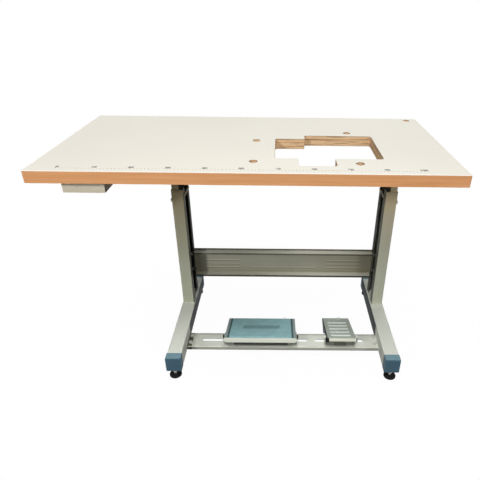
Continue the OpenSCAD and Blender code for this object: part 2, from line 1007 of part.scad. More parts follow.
// Puts a bracket's piece at one side of a pedal: its own +X points outward,
// and its x = 0 is the pedal's side edge
module on_bracket(x, w, side) {
  translate([x + side * w / 2, 0, 0])
    mirror([side < 0 ? 1 : 0, 0, 0])
      children();
}

// The height at which a pedal's side skirt stops on its brackets' rear lugs
function stop_top(up, tilt, skirt, y) =
  pedal_z - (y - pedal_y) * tan(tilt) + (up - skirt) / cos(tilt) - clear;

module pedal_bracket(x, w, side, up, tilt, skirt) {
  y0 = bar_mid - base_l / 2 - base_shift;
  y1 = y0 + base_l;
  lug = stop_top(up, tilt, skirt, y1);
  color(paint_dark)
    on_bracket(x, w, side)
      difference() {
        union() {
          translate([clear - base_w, y0, bar_top])
            cube([base_w + bracket_t, base_l, bracket_t]);
          translate([-stop_in, y1 - stop_t, bar_top])
            cube([stop_in + clear + bracket_t, stop_t, lug - bar_top]);
          translate([clear, 0, 0])
            rotate([90, 0, 90])
              linear_extrude(bracket_t) {
                polygon([
                  [y0, bar_top], [y1, bar_top], [y1, lug],
                  [pedal_y + ear_r * cos(ear_lean), pedal_z + ear_r * sin(ear_lean)],
                  [pedal_y - ear_r, pedal_z], [y0, bar_top + bracket_toe]]);
                translate([pedal_y, pedal_z]) circle(ear_r);
              }
        }
        translate([clear - e, pedal_y, pedal_z])
          rotate([0, 90, 0])
            cylinder(d = pin_d + 2 * run, h = bracket_t + 2 * e);
        translate([-foot_bolt_in, bar_mid, bar_top - e])
          cylinder(d = bolt_hole_d, h = bracket_t + 2 * e);
      }
}

module treadle_bracket(side) {
  pedal_bracket(treadle_x, treadle_w, side, treadle_up, treadle_tilt, treadle_skirt);
}

module lift_bracket(side) {
  pedal_bracket(lift_x, lift_w, side, lift_up, lift_tilt, lift_skirt);
}

module pedal_bolts(x, w) {
  color(zinc)
    for (side = [-1, 1])
      on_bracket(x, w, side)
        translate([-foot_bolt_in, bar_mid, bar_top + bracket_t])
          bolt(bracket_t + bar_t + clear + washer_t + nut_h + 1);
}

module pedal_nuts(x, w) {
  color(zinc)
    for (side = [-1, 1])
      on_bracket(x, w, side)
        translate([-foot_bolt_in, bar_mid, bar_top - bar_t - clear])
          flange_nut();
}

// Shoulder screws that the pedal turns on: head outside the bracket's ear, nut inside
module pedal_pivots(x, w) {
  grip = bracket_t + pedal_t + 2 * clear;
  color(zinc)
    for (side = [-1, 1])
      on_bracket(x, w, side)
        translate([clear + bracket_t, pedal_y, pedal_z])
          rotate([0, 90, 0]) {
            bolt(grip + pivot_nut_h + 1, pin_d);
            translate([0, 0, -grip]) plain_nut(pin_d, hex_af, pivot_nut_h);
          }
}

// The pedal's sheet: a plate with side skirts, pivot ears, a rear skirt and a rolled
// front edge. It is drawn flat, with the pivot at the origin
module pedal_sheet(w, l, nose, up, skirt, rear, corner) {
  difference() {
    union() {
      translate([-w / 2, -nose, up - pedal_t]) cube([w, l, pedal_t]);
      translate([-w / 2, l - nose - pedal_t, up - rear]) cube([w, pedal_t, rear]);
      for (side = [-1, 1])
        translate([side > 0 ? w / 2 - pedal_t : -w / 2, 0, 0])
          rotate([90, 0, 90])
            linear_extrude(pedal_t) {
              polygon(concat(
                [[-nose, up], [l - nose, up], [l - nose, up - rear]], corner,
                [[3 * ear_r, up - skirt], [ear_r * ear_low, -ear_r * ear_low],
                 [-ear_r * ear_low, -ear_r * ear_low], [-nose, up - roll_d / 2]]));
              circle(ear_r);
            }
      translate([-w / 2, -nose, up - roll_d / 2])
        rotate([0, 90, 0])
          cylinder(d = roll_d, h = w);
    }
    for (side = [-1, 1])
      translate([side > 0 ? w / 2 - pedal_t - e : -w / 2 - e, 0, 0])
        rotate([0, 90, 0])
          cylinder(d = pin_d + 2 * run, h = pedal_t + 2 * e);
    translate([-w / 2 - e, -nose, up - roll_d / 2])
      rotate([0, 90, 0])
        cylinder(d = roll_d - 2 * pedal_t, h = w + 2 * e);
  }
}

// The lower apron of the treadle's front edge, wider than the plate, with cut corners
module treadle_apron() {
  half = treadle_w / 2 + apron_over;
  translate([0, -treadle_nose - roll_d / 2 + 1, treadle_up - roll_d / 2 + apron_rise])
    rotate([90, 0, 0])
      linear_extrude(pedal_t)
        polygon([
          [-half, 0], [half, 0], [half, -apron_h / 4], [half - apron_bevel, -apron_h],
          [-half + apron_bevel, -apron_h], [-half, -apron_h / 4]]);
}

module treadle_frame() {
  color(paint)
    on_pedal(treadle_x, treadle_tilt)
      difference() {
        union() {
          pedal_sheet(treadle_w, treadle_l, treadle_nose, treadle_up,
            treadle_skirt, treadle_skirt, []);
          treadle_apron();
        }
        translate([rod_x, treadle_l - treadle_nose - stud_in, treadle_up - pedal_t - e])
          cylinder(d = stud_hole_d, h = pedal_t + 2 * e);
      }
}

// The mat is a panel with a thin border all round, notched for the stud
module treadle_mat() {
  mat_l = treadle_l - 2 * mat_margin;
  color(mat_blue)
    on_pedal(treadle_x, treadle_tilt)
      translate([0, mat_margin + mat_l / 2 - treadle_nose, treadle_up])
        difference() {
          union() {
            linear_extrude(mat_border_t) round_rect(mat_w, mat_l, mat_r);
            linear_extrude(mat_t)
              round_rect(mat_w - 2 * mat_border, mat_l - mat_border, mat_r);
          }
          translate([rod_x, treadle_l - mat_margin - mat_l / 2 - stud_in, -e])
            cylinder(d = stud_hex, h = mat_t + 2 * e);
        }
}

// A stud through the plate's rear edge, with a collar on top and a nut below
module edge_stud(x, y, up) {
  shank_low = pedal_t + stud_nut_h + 1;
  translate([x, y, up]) {
    translate([0, 0, -shank_low]) cylinder(d = chain_d, h = shank_low + stud_over);
    cylinder(d = stud_collar_d, h = stud_collar_h);
    translate([0, 0, -pedal_t]) plain_nut(chain_d, stud_hex, stud_nut_h);
  }
}

module treadle_rod_stud() {
  color(zinc)
    on_pedal(treadle_x, treadle_tilt)
      edge_stud(rod_x, treadle_l - treadle_nose - stud_in, treadle_up);
}

module lift_ribs() {
  pitch = (lift_l - rib_first - rib_last) / (rib_count - 1);
  for (i = [0:rib_count - 1])
    translate([0, -lift_nose + rib_first + i * pitch])
      slot_shape(lift_w - 2 * rib_margin, rib_w);
}

module lift_pedal() {
  color(paint_dark)
    on_pedal(lift_x, lift_tilt)
      difference() {
        union() {
          pedal_sheet(lift_w, lift_l, lift_nose, lift_up, lift_skirt, lift_rear,
            [[lift_cheek_y, lift_up - lift_cheek],
             [lift_cheek_y - lift_cheek, lift_up - lift_skirt]]);
          translate([0, 0, lift_up - 0.5]) linear_extrude(rib_h + 0.5) lift_ribs();
        }
        translate([chain_x, lift_l - lift_nose - stud_in, lift_up - pedal_t - e])
          cylinder(d = stud_hole_d, h = pedal_t + 2 * e);
      }
}

module lift_end_plugs() {
  color(black)
    on_pedal(lift_x, lift_tilt)
      for (side = [-1, 1])
        translate([side * lift_w / 2, -lift_nose, lift_up - roll_d / 2])
          rotate([0, side * 90, 0]) {
            cylinder(d = roll_d + 1, h = 3);
            translate([0, 0, -8]) cylinder(d = roll_d - 2 * pedal_t - 2 * run, h = 9);
          }
}

module lift_chain_stud() {
  color(zinc)
    on_pedal(lift_x, lift_tilt)
      edge_stud(chain_x, lift_l - lift_nose - stud_in, lift_up);
}

// Drawer and rails

// A rail at one side of the drawer: flange on the underside, wall, and ledge
module drawer_rail(side) {
  color(zinc)
    translate([drawer_x, drawer_y + rail_in, 0])
      mirror([side < 0 ? 1 : 0, 0, 0])
        difference() {
          union() {
            translate([rail_x, 0, under_z - rail_t]) cube([rail_flange, rail_l, rail_t]);
            translate([rail_x, 0, rail_low]) cube([rail_t, rail_l, rail_drop]);
            translate([rail_x - rim_w + 1, 0, rail_low]) cube([rim_w, rail_l, rail_t]);
          }
          for (i = [0:rail_screw_count - 1])
            translate([rail_screw_x, rail_screw_y(i), under_z - rail_t - e])
              cylinder(d = rail_screw_d + 0.4, h = rail_t + 2 * e);
        }
}

function rail_screw_y(i) =
  rail_screw_end + i * (rail_l - 2 * rail_screw_end) / (rail_screw_count - 1);

module on_rail_screws() {
  for (side = [-1, 1], i = [0:rail_screw_count - 1])
    translate([drawer_x + side * rail_screw_x, drawer_y + rail_in + rail_screw_y(i),
        under_z - rail_t])
      children();
}

module rail_screws() {
  color(zinc) on_rail_screws() wood_screw(rail_screw_len, rail_screw_d);
}

module drawer_box() {
  t = drawer_wall;
  color(drawer_grey)
    translate([drawer_x, drawer_y, 0])
      difference() {
        union() {
          translate([-drawer_w / 2, 0, drawer_low])
            cube([drawer_w, drawer_l, rim_z + t - drawer_low]);
          translate([-drawer_w / 2 - rim_w + 1, 7, rim_z])
            cube([drawer_w + 2 * rim_w - 2, drawer_l - 7, t]);
          translate([-drawer_w / 2, 0, drawer_low]) cube([drawer_w, t, drawer_h]);
        }
        translate([-drawer_w / 2 + t, t, drawer_low + t])
          cube([drawer_w - 2 * t, drawer_l - 2 * t, drawer_h]);
      }
}

tabletop_core();
top_laminate();
bottom_laminate();
edge_band();
table_bracket(-1);  // left_table_bracket
table_bracket(1);  // right_table_bracket
inner_post(-1);  // left_inner_post
inner_post(1);  // right_inner_post
bracket_screws();
drawer_rail(-1);  // left_drawer_rail
drawer_rail(1);  // right_drawer_rail
rail_screws();
drawer_box();
foot(-1);  // left_foot
foot(1);  // right_foot
column(-1);  // left_column
column(1);  // right_column
column_straps();
foot_cap(-1, -1);  // front_left_cap
foot_cap(1, -1);  // front_right_cap
foot_cap(-1, 1);  // rear_left_cap
foot_cap(1, 1);  // rear_right_cap
glide_bushes();
glide_nuts();
cross_brace();
brace_bolts();
brace_nuts();
clamp_bolts();
clamp_washers();
clamp_nuts();
pedal_bar();
bar_shelves();
bar_bolts();
bar_nuts();
glide_stud(-1, -1);  // front_left_stud
glide_stud(1, -1);  // front_right_stud
glide_stud(-1, 1);  // rear_left_stud
glide_stud(1, 1);  // rear_right_stud
glide_pad(-1, -1);  // front_left_pad
glide_pad(1, -1);  // front_right_pad
glide_pad(-1, 1);  // rear_left_pad
glide_pad(1, 1);  // rear_right_pad
treadle_bracket(-1);  // treadle_left_bracket
treadle_bracket(1);  // treadle_right_bracket
pedal_bolts(treadle_x, treadle_w);  // treadle_bolts
pedal_nuts(treadle_x, treadle_w);  // treadle_nuts
pedal_pivots(treadle_x, treadle_w);  // treadle_pivots
treadle_frame();
treadle_mat();
treadle_rod_stud();
lift_bracket(-1);  // lift_left_bracket
lift_bracket(1);  // lift_right_bracket
pedal_bolts(lift_x, lift_w);  // lift_bolts
pedal_nuts(lift_x, lift_w);  // lift_nuts
pedal_pivots(lift_x, lift_w);  // lift_pivots
lift_pedal();
lift_end_plugs();
lift_chain_stud();
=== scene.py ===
"""Looks of the sewing machine table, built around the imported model. Metres, in the model's frame."""
import json
import math

import bpy
from mathutils import Matrix, Vector

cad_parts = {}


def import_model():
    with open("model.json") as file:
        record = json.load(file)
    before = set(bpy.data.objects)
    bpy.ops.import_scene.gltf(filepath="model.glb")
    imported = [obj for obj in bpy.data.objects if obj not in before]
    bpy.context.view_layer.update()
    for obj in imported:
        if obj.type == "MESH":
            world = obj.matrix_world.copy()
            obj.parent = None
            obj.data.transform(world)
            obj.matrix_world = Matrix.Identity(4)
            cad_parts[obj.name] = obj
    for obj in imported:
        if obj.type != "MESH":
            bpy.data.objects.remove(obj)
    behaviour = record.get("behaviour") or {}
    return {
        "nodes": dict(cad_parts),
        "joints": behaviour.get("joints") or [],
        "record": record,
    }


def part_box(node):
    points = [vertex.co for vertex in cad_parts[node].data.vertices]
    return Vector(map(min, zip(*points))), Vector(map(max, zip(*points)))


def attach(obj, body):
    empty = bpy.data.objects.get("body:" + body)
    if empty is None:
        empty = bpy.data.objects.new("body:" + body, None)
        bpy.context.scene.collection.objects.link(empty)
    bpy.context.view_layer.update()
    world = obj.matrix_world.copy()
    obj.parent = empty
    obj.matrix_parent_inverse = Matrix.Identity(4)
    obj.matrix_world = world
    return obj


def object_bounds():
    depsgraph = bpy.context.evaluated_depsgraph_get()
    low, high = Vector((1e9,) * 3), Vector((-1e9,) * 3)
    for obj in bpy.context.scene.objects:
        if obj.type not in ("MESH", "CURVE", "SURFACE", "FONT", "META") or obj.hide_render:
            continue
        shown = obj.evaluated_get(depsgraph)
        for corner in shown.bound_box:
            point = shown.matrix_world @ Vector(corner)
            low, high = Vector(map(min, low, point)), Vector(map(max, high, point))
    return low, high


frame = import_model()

cad_lo, cad_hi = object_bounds()
nodes = frame["nodes"]
MM = 0.001


# Places that the frame gives

top_lo, top_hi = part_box("edge_band")
FOOT_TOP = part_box("left_foot")[1].z
STAND_X = (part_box("left_column")[0].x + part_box("right_column")[1].x) / 2
PIVOTS = {j["name"]: j["pos_m"] for j in frame["joints"] if "pos_m" in j}


# Shader nodes and materials

def srgb(r, g, b):
    """An 8-bit display colour as the linear colour that a shader takes."""
    def linear(v):
        v /= 255
        return v / 12.92 if v <= 0.04045 else ((v + 0.055) / 1.055) ** 2.4
    return (linear(r), linear(g), linear(b), 1.0)


def feed(tree, socket, value):
    """Links one socket to another, or gives it a number, vector or colour."""
    if isinstance(value, bpy.types.NodeSocket):
        tree.links.new(value, socket)
    else:
        socket.default_value = value


def arithmetic(tree, operation, first, second=0.0, clamped=False):
    """A math node on two numbers or sockets."""
    made = tree.nodes.new("ShaderNodeMath")
    made.operation = operation
    made.use_clamp = clamped
    feed(tree, made.inputs[0], first)
    feed(tree, made.inputs[1], second)
    return made.outputs[0]


class Material:
    """A Principled material fed by procedural nodes in the model's own coordinates."""

    def __init__(self, name, roughness, metallic=0.0, specular=0.5):
        self.data = bpy.data.materials.new(name)
        self.data.use_nodes = True
        self.tree = self.data.node_tree
        self.shader = self.tree.nodes["Principled BSDF"]
        self.shader.inputs["Roughness"].default_value = roughness
        self.shader.inputs["Metallic"].default_value = metallic
        self.shader.inputs["Specular IOR Level"].default_value = specular
        self.place = self.add("ShaderNodeTexCoord").outputs["Object"]
        self.last_normal = None

    def add(self, kind, **settings):
        made = self.tree.nodes.new(kind)
        for key, value in settings.items():
            setattr(made, key, value)
        return made

    def feed(self, socket, value):
        feed(self.tree, socket, value)

    def calc(self, operation, first, second=0.0):
        return arithmetic(self.tree, operation, first, second)

    # Patterns

    def stretched(self, x, y, z):
        """The place, scaled along each axis."""
        made = self.add("ShaderNodeMapping")
        self.feed(made.inputs["Vector"], self.place)
        made.inputs["Scale"].default_value = (x, y, z)
        return made.outputs["Vector"]

    def noise(self, scale, detail, vector=None, distortion=0.0):
        made = self.add("ShaderNodeTexNoise")
        self.feed(made.inputs["Vector"], vector or self.place)
        made.inputs["Scale"].default_value = scale
        made.inputs["Detail"].default_value = detail
        made.inputs["Distortion"].default_value = distortion
        return made.outputs["Fac"]

    def cells(self, scale):
        made = self.add("ShaderNodeTexVoronoi")
        self.feed(made.inputs["Vector"], self.place)
        made.inputs["Scale"].default_value = scale
        return made.outputs["Distance"]

    def ramp(self, value, *stops):
        """Colours or greys along a value: each stop is (position, colour or grey)."""
        made = self.add("ShaderNodeValToRGB")
        self.feed(made.inputs["Fac"], value)
        line = made.color_ramp.elements
        while len(line) < len(stops):
            line.new(0.5)
        for element, (position, colour) in zip(line, stops):
            element.position = position
            element.color = colour if isinstance(colour, tuple) else (colour,) * 3 + (1.0,)
        return made.outputs["Color"]

    def clouds(self, pattern, first, second, low=0.3, high=0.7):
        """Two colours that drift into each other along a pattern."""
        return self.ramp(pattern, (low, srgb(*first)), (high, srgb(*second)))

    # Masks, which are 1 where they hold and 0 elsewhere

    def axis(self, name):
        made = self.add("ShaderNodeSeparateXYZ")
        self.feed(made.inputs[0], self.place)
        return made.outputs[name]

    def away(self, name, middle):
        """The distance from a plane that crosses an axis."""
        return self.calc("ABSOLUTE", self.calc("SUBTRACT", self.axis(name), middle))

    def facing(self, name):
        """How far the surface looks along an axis of the world, without its relief."""
        made = self.add("ShaderNodeSeparateXYZ")
        self.feed(made.inputs[0], self.add("ShaderNodeNewGeometry").outputs["True Normal"])
        return made.outputs[name]

    def more(self, value, least):
        return self.calc("GREATER_THAN", value, least)

    def less(self, value, most):
        return self.calc("LESS_THAN", value, most)

    def rise(self, value, zero_at, one_at):
        """A straight rise or fall from 0 to 1 between two values, level beyond both."""
        made = self.add("ShaderNodeMapRange")
        self.feed(made.inputs["Value"], value)
        made.inputs["From Min"].default_value = zero_at
        made.inputs["From Max"].default_value = one_at
        return made.outputs["Result"]

    def all_of(self, *masks):
        product = masks[0]
        for mask in masks[1:]:
            product = self.calc("MULTIPLY", product, mask)
        return product

    # Colour, roughness and relief

    def mix(self, amount, first, second, how="MIX"):
        made = self.add("ShaderNodeMix", data_type="RGBA", blend_type=how)
        self.feed(made.inputs["Factor"], amount)
        self.feed(made.inputs[6], first)
        self.feed(made.inputs[7], second)
        return made.outputs[2]

    def colour(self, value):
        self.feed(self.shader.inputs["Base Color"], value)

    def coat(self, where, tint, amount=1.0):
        """Lays a colour over the one below it, as far as the mask and the amount say."""
        below = self.shader.inputs["Base Color"].links[0].from_socket
        self.colour(self.mix(self.calc("MULTIPLY", where, amount), below,
                             tint if isinstance(tint, bpy.types.NodeSocket) else srgb(*tint)))

    def roughness(self, value, low, high):
        made = self.add("ShaderNodeMapRange")
        self.feed(made.inputs["Value"], value)
        made.inputs["To Min"].default_value = low
        made.inputs["To Max"].default_value = high
        self.feed(self.shader.inputs["Roughness"], made.outputs["Result"])

    def bump(self, height, distance, strength):
        """Adds relief of that depth in metres, on top of any relief before it."""
        made = self.add("ShaderNodeBump")
        self.feed(made.inputs["Height"], height)
        made.inputs["Distance"].default_value = distance
        made.inputs["Strength"].default_value = strength
        if self.last_normal is not None:
            self.feed(made.inputs["Normal"], self.last_normal)
        self.last_normal = made.outputs["Normal"]
        self.feed(self.shader.inputs["Normal"], self.last_normal)


# The table top. Colours are display values from 0 to 255, and CLOUDS are two that drift together.

LAMINATE_CLOUDS = ((233, 230, 219), (227, 224, 214))
LAMINATE_SPECK = (198, 192, 178)
# A painted highlight along the top's front edge
LAMINATE_FRONT_HIGHLIGHT = (247, 245, 237)
LAMINATE_CUT = (110, 82, 58)
# How deep the painted highlight along the front edge reaches
FRONT_HIGHLIGHT_WIDTH = 7 * MM
BACKING_CLOUDS = ((214, 209, 198), (203, 198, 187))


def laminate():
    """White decorative laminate: faint clouds and specks, a painted highlight along the front edge,
    brown cut edges.
    """
    m = Material("white_laminate", 0.42, specular=0.06)
    m.colour(m.clouds(m.noise(1.6, 2.0), *LAMINATE_CLOUDS))
    m.coat(m.ramp(m.noise(420.0, 2.0), (0.62, 0.0), (0.74, 1.0)), LAMINATE_SPECK, 0.10)
    m.coat(m.less(m.axis("Y"), cad_lo.y + FRONT_HIGHLIGHT_WIDTH), LAMINATE_FRONT_HIGHLIGHT)
    m.coat(m.less(m.facing("Z"), 0.5), LAMINATE_CUT)
    m.roughness(m.noise(5.0, 4.0), 0.34, 0.52)
    m.bump(m.noise(700.0, 2.0), 0.04 * MM, 0.35)
    return m.data


def backing():
    """Balancing sheet under the top: dull, slightly mottled."""
    m = Material("backing_laminate", 0.65, specular=0.3)
    m.colour(m.clouds(m.noise(9.0, 5.0), *BACKING_CLOUDS))
    m.bump(m.noise(500.0, 2.0), 0.05 * MM, 0.4)
    return m.data


PLY = 1.9 * MM
PLY_WAVER = 2.4 * MM
LONG_VENEER = ((255, 226, 184), (252, 216, 172))
CROSS_VENEER = ((240, 196, 150), (244, 204, 158))
GLUE_LINE = (214, 162, 116)
PLY_SEAM = (120, 74, 44)
PLY_VOID = (92, 58, 36)


def plywood():
    """Cut edges of plywood: crossing veneers, dark glue lines, grain streaks and a few voids."""
    m = Material("plywood", 0.72, specular=0.1)
    waver = m.calc("MULTIPLY", m.noise(14.0, 2.0), PLY_WAVER)
    depth = m.calc("DIVIDE", m.calc("ADD", m.axis("Z"), waver), PLY)
    layer = m.calc("FRACT", m.calc("MULTIPLY", depth, 0.5))
    veneer = m.ramp(layer, *zip((0.0, 0.46, 0.50, 0.96),
                                (srgb(*c) for c in LONG_VENEER + CROSS_VENEER)))
    line = m.ramp(m.calc("PINGPONG", depth, 0.5), (0.0, 0.0), (0.09, 1.0))
    streak = m.noise(1.0, 6.0, m.stretched(55.0, 55.0, 900.0))
    grain = m.ramp(streak, (0.35, 0.72), (0.62, 1.0))
    m.colour(m.mix(0.35, veneer, grain, "MULTIPLY"))
    m.coat(m.calc("SUBTRACT", 1.0, line), GLUE_LINE)
    seam = m.noise(1.0, 2.0, m.stretched(11.0, 11.0, 340.0))
    m.coat(m.ramp(seam, (0.55, 0.0), (0.60, 1.0)), PLY_SEAM, 0.6)
    gap = m.noise(1.0, 2.0, m.stretched(34.0, 34.0, 330.0))
    m.coat(m.ramp(gap, (0.69, 0.0), (0.73, 1.0)), PLY_VOID)
    m.bump(line, 0.3 * MM, 0.35)
    m.bump(streak, 0.4 * MM, 0.5)
    return m.data


BAND_CLOUDS = ((245, 182, 129), (235, 168, 114))
BAND_TRIMMED = (238, 235, 224)


def band():
    """Wood-coloured plastic edge band: fine long grain lines, and pale where it is trimmed flush."""
    m = Material("edge_band", 0.45, specular=0.1)
    fine = m.noise(1.0, 5.0, m.stretched(9.0, 9.0, 620.0))
    broad = m.noise(1.0, 3.0, m.stretched(4.0, 4.0, 120.0), distortion=0.4)
    lines = m.ramp(fine, (0.42, 0.86), (0.62, 1.0))
    m.colour(m.mix(0.6, m.clouds(broad, *BAND_CLOUDS), lines, "MULTIPLY"))
    m.coat(m.more(m.facing("Z"), 0.5), BAND_TRIMMED, 0.85)
    m.roughness(broad, 0.38, 0.55)
    m.bump(fine, 0.06 * MM, 0.4)
    return m.data


# The stand's paints

# A mask counts this far to both sides of a sheet's face
SKIN = 0.9 * MM


def powder_coat(name, light, dark, roughness=0.5):
    """Powder coat: orange-peel relief, a little cloudy, with scuffs that show as duller specks."""
    m = Material(name, roughness, specular=0.06)
    m.colour(m.clouds(m.noise(7.0, 4.0), light, dark, high=0.72))
    scuff = m.ramp(m.noise(1.0, 7.0, m.stretched(60.0, 60.0, 18.0)), (0.66, 0.0), (0.80, 1.0))
    m.coat(scuff, tuple(int(v * 0.78) for v in dark), 0.35)
    m.roughness(m.noise(22.0, 5.0), roughness - 0.08, roughness + 0.12)
    m.bump(m.noise(650.0, 2.0), 0.06 * MM, 0.5)
    return m


# How far the painted edge highlights reach, and where they are full
HIGHLIGHT_REACH = 2.2 * MM
HIGHLIGHT_CORE = 0.66 * MM


def edge_highlights(m, edges, tint):
    """Painted highlights along straight edges: each is (axis, place, axis, place) across its own way.
    """
    glow = 0.0
    for first, at, second, level in edges:
        squares = m.calc("ADD", m.calc("POWER", m.away(first, at), 2.0),
                         m.calc("POWER", m.away(second, level), 2.0))
        glow = m.calc("MAXIMUM", glow, m.rise(m.calc("SQRT", squares), HIGHLIGHT_REACH, HIGHLIGHT_CORE))
    m.coat(glow, tint, 0.8)


STAND_CLOUDS = ((237, 241, 231), (229, 233, 222))
# Painted shade on the faces that look to the front
STAND_FRONT_SHADE = (178, 181, 172)
# Painted highlight along the feet's inner top edges and the bar's front edge
STAND_EDGE_HIGHLIGHT = (244, 248, 236)
# Painted shade on the feet's inner sides behind the bar
FOOT_SIDE_SHADE = (30, 36, 40)
# Painted shadow of the left foot across the bar's left end
BAR_END_SHADOW = (84, 88, 73)
# Painted shade that fades out along the bar's left part
BAR_LEFT_SHADE = (104, 106, 92)
# Where the painted shade on the feet's inner sides behind the bar starts and is full, from the bar's
# rear edge
BEHIND_FROM, BEHIND_FULL = -12 * MM, 8 * MM
FOOT_CORNER = 2.5 * MM
BAR_GAP = 0.5 * MM
# The width of the painted shadow at the bar's left end, and how far the painted shade fades
BAR_SHADOW_WIDTH = 17 * MM
BAR_SHADE_FADE = 120 * MM
# Painted shadows on the bar under each pedal's front edge, inset from the pedal's ends, with soft
# edges
PEDAL_SHADOW = {"treadle_frame": (76, 80, 74), "lift_pedal": (128, 130, 116)}
SHADOW_INSET = 9 * MM
SHADOW_SOFT = 12 * MM
BAR_EDGE = 5 * MM
BAR_EDGE_SOFT = 8 * MM


def stand_paint():
    """The stand's grey-green powder coat: painted shade on what faces the front, painted highlights
    along the feet's inner top edges and the bar's front edge, painted shadows on the bar under the
    pedals' front edges, and painted shade at the bar's left end and on the feet's inner sides behind
    the bar."""
    m = powder_coat("stand_paint", *STAND_CLOUDS)
    bar_lo, bar_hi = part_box("pedal_bar")
    inner_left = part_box("left_foot")[1].x
    inner_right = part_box("right_foot")[0].x
    half_gap = inner_right - STAND_X
    aside = m.away("X", STAND_X)
    on_bar = m.less(aside, half_gap - BAR_GAP)

    m.coat(m.less(m.facing("Y"), -0.5), STAND_FRONT_SHADE, 0.8)
    behind = m.rise(m.axis("Y"), bar_hi.y + BEHIND_FROM, bar_hi.y + BEHIND_FULL)
    below_top = m.less(m.axis("Z"), FOOT_TOP - FOOT_CORNER)
    m.coat(m.all_of(m.less(aside, half_gap + SKIN), below_top, behind), FOOT_SIDE_SHADE)
    m.coat(m.all_of(on_bar, m.less(m.axis("X"), inner_left + BAR_SHADOW_WIDTH)), BAR_END_SHADOW)
    faded = m.rise(m.axis("X"), inner_left + BAR_SHADE_FADE, inner_left)
    m.coat(m.all_of(faded, on_bar), BAR_LEFT_SHADE, 0.3)

    for pedal, shadow_tint in PEDAL_SHADOW.items():
        lo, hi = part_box(pedal)
        half = (hi.x - lo.x) / 2 - SHADOW_INSET
        under_it = m.rise(m.away("X", (lo.x + hi.x) / 2), half, half - SHADOW_SOFT)
        past_edge = m.rise(m.axis("Y"), bar_lo.y + BAR_EDGE, bar_lo.y + BAR_EDGE + BAR_EDGE_SOFT)
        m.coat(m.all_of(under_it, past_edge, on_bar), shadow_tint, 0.92)
    edge_highlights(m, [("X", inner_left - MM, "Z", FOOT_TOP - MM),
                   ("X", inner_right + MM, "Z", FOOT_TOP - MM),
                   ("Y", bar_lo.y + MM, "Z", bar_hi.z - MM)], STAND_EDGE_HIGHLIGHT)
    return m.data


# A darker copy of the stand's paint, as painted shade on the uprights
COLUMN_SHADED_CLOUDS = ((200, 201, 188), (192, 193, 180))
# Heights above the floor, and the uprights' painted shade and brown bounce light there: browner
# towards the top under the table, darker on the left than on the right
SHADE_HEIGHTS = (0.25, 0.42, 0.55)
LEFT_HEIGHT_SHADE = ((196, 199, 178), (173, 170, 143), (157, 140, 103))
RIGHT_HEIGHT_SHADE = ((205, 208, 188), (203, 199, 176), (217, 198, 158))
# Painted shade on the C's lips, darkest on the rear ones
LIP_SHADE = (66, 67, 60)
REAR_LIP_SHADE = (30, 31, 28)
# Painted shade inside the C, deeper in the left column than in the right
LEFT_INSIDE_SHADE = (66, 69, 58)
RIGHT_INSIDE_SHADE = (160, 162, 152)


def column_paint(name, post):
    """The uprights' coat, a darker copy of the stand's paint as painted shade: painted shade and brown
    bounce light that grow towards the top, and painted shade on the lips and inside the C.
    """
    m = powder_coat(name, *COLUMN_SHADED_CLOUDS)
    lo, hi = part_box("left_inner_post" if post else "left_column")
    outer, inner = STAND_X - lo.x, STAND_X - hi.x
    middle = (lo.y + hi.y) / 2
    aside = m.away("X", STAND_X)
    on_right = m.more(m.axis("X"), STAND_X)

    left, right = (m.ramp(m.axis("Z"), *zip(SHADE_HEIGHTS, (srgb(*c) for c in colours)))
                   for colours in (LEFT_HEIGHT_SHADE, RIGHT_HEIGHT_SHADE))
    m.coat(1.0, m.mix(on_right, left, right), 0.85)
    lips = m.all_of(m.less(aside, inner + SKIN), m.more(aside, inner - SKIN),
                    m.less(m.axis("Z"), hi.z))
    m.coat(lips, LIP_SHADE, 0.85)
    m.coat(m.all_of(lips, m.more(m.axis("Y"), middle)), REAR_LIP_SHADE)
    inside = m.all_of(m.less(aside, outer - SKIN), m.more(aside, inner + SKIN),
                      m.less(m.away("Y", middle), (hi.y - lo.y) / 2 - SKIN),
                      m.less(m.axis("Z"), hi.z + MM))
    m.coat(inside, m.mix(on_right, srgb(*LEFT_INSIDE_SHADE), srgb(*RIGHT_INSIDE_SHADE)))
    return m.data


# A darker copy of the stand's paint, as painted shade on the brace
BRACE_SHADED_CLOUDS = ((180, 179, 163), (172, 171, 155))
# The ribs' rows above the brace's lower edge, and their ends from the stand's middle
RIB_ROWS = (30 * MM, 46.5 * MM, 63 * MM)
RIB_HALF = 4 * MM
RIB_FROM, RIB_TO = 175 * MM, 313 * MM
LONG_RIB = 133 * MM
# Painted highlight on the ribs' crests and painted shade at their feet
RIB_HIGHLIGHT = (226, 226, 210)
RIB_SHADE = (104, 102, 88)
# Painted shadow of the left column on the brace's left end
BRACE_LEFT_SHADOW = (84, 76, 56)
LEFT_FULL, LEFT_END = 44 * MM, 80 * MM
# Painted shade towards the brace's right end
BRACE_RIGHT_SHADE = (128, 124, 100)
RIGHT_FULL, RIGHT_END = 52 * MM, 260 * MM
# Painted shade on the brace's lower part
BRACE_LOW_SHADE = (136, 128, 104)
LOW_FULL, LOW_END = 12 * MM, 40 * MM
# Painted light on the upward faces of the brace's top rim
BRACE_SHELF_LIGHT = (232, 232, 218)
SHELF_DEPTH = 12 * MM
# Painted light on the upward faces of the brace's low rim
BRACE_RIM_LIGHT = (214, 214, 200)
RIM_HEIGHT = 10 * MM
# Painted shade on the brace's upstand, its front edge and its drop
BRACE_EDGE_SHADE = (66, 64, 54)
UPSTAND = 5.5 * MM
FRONT_EDGE = 0.6 * MM
DROP = 7 * MM


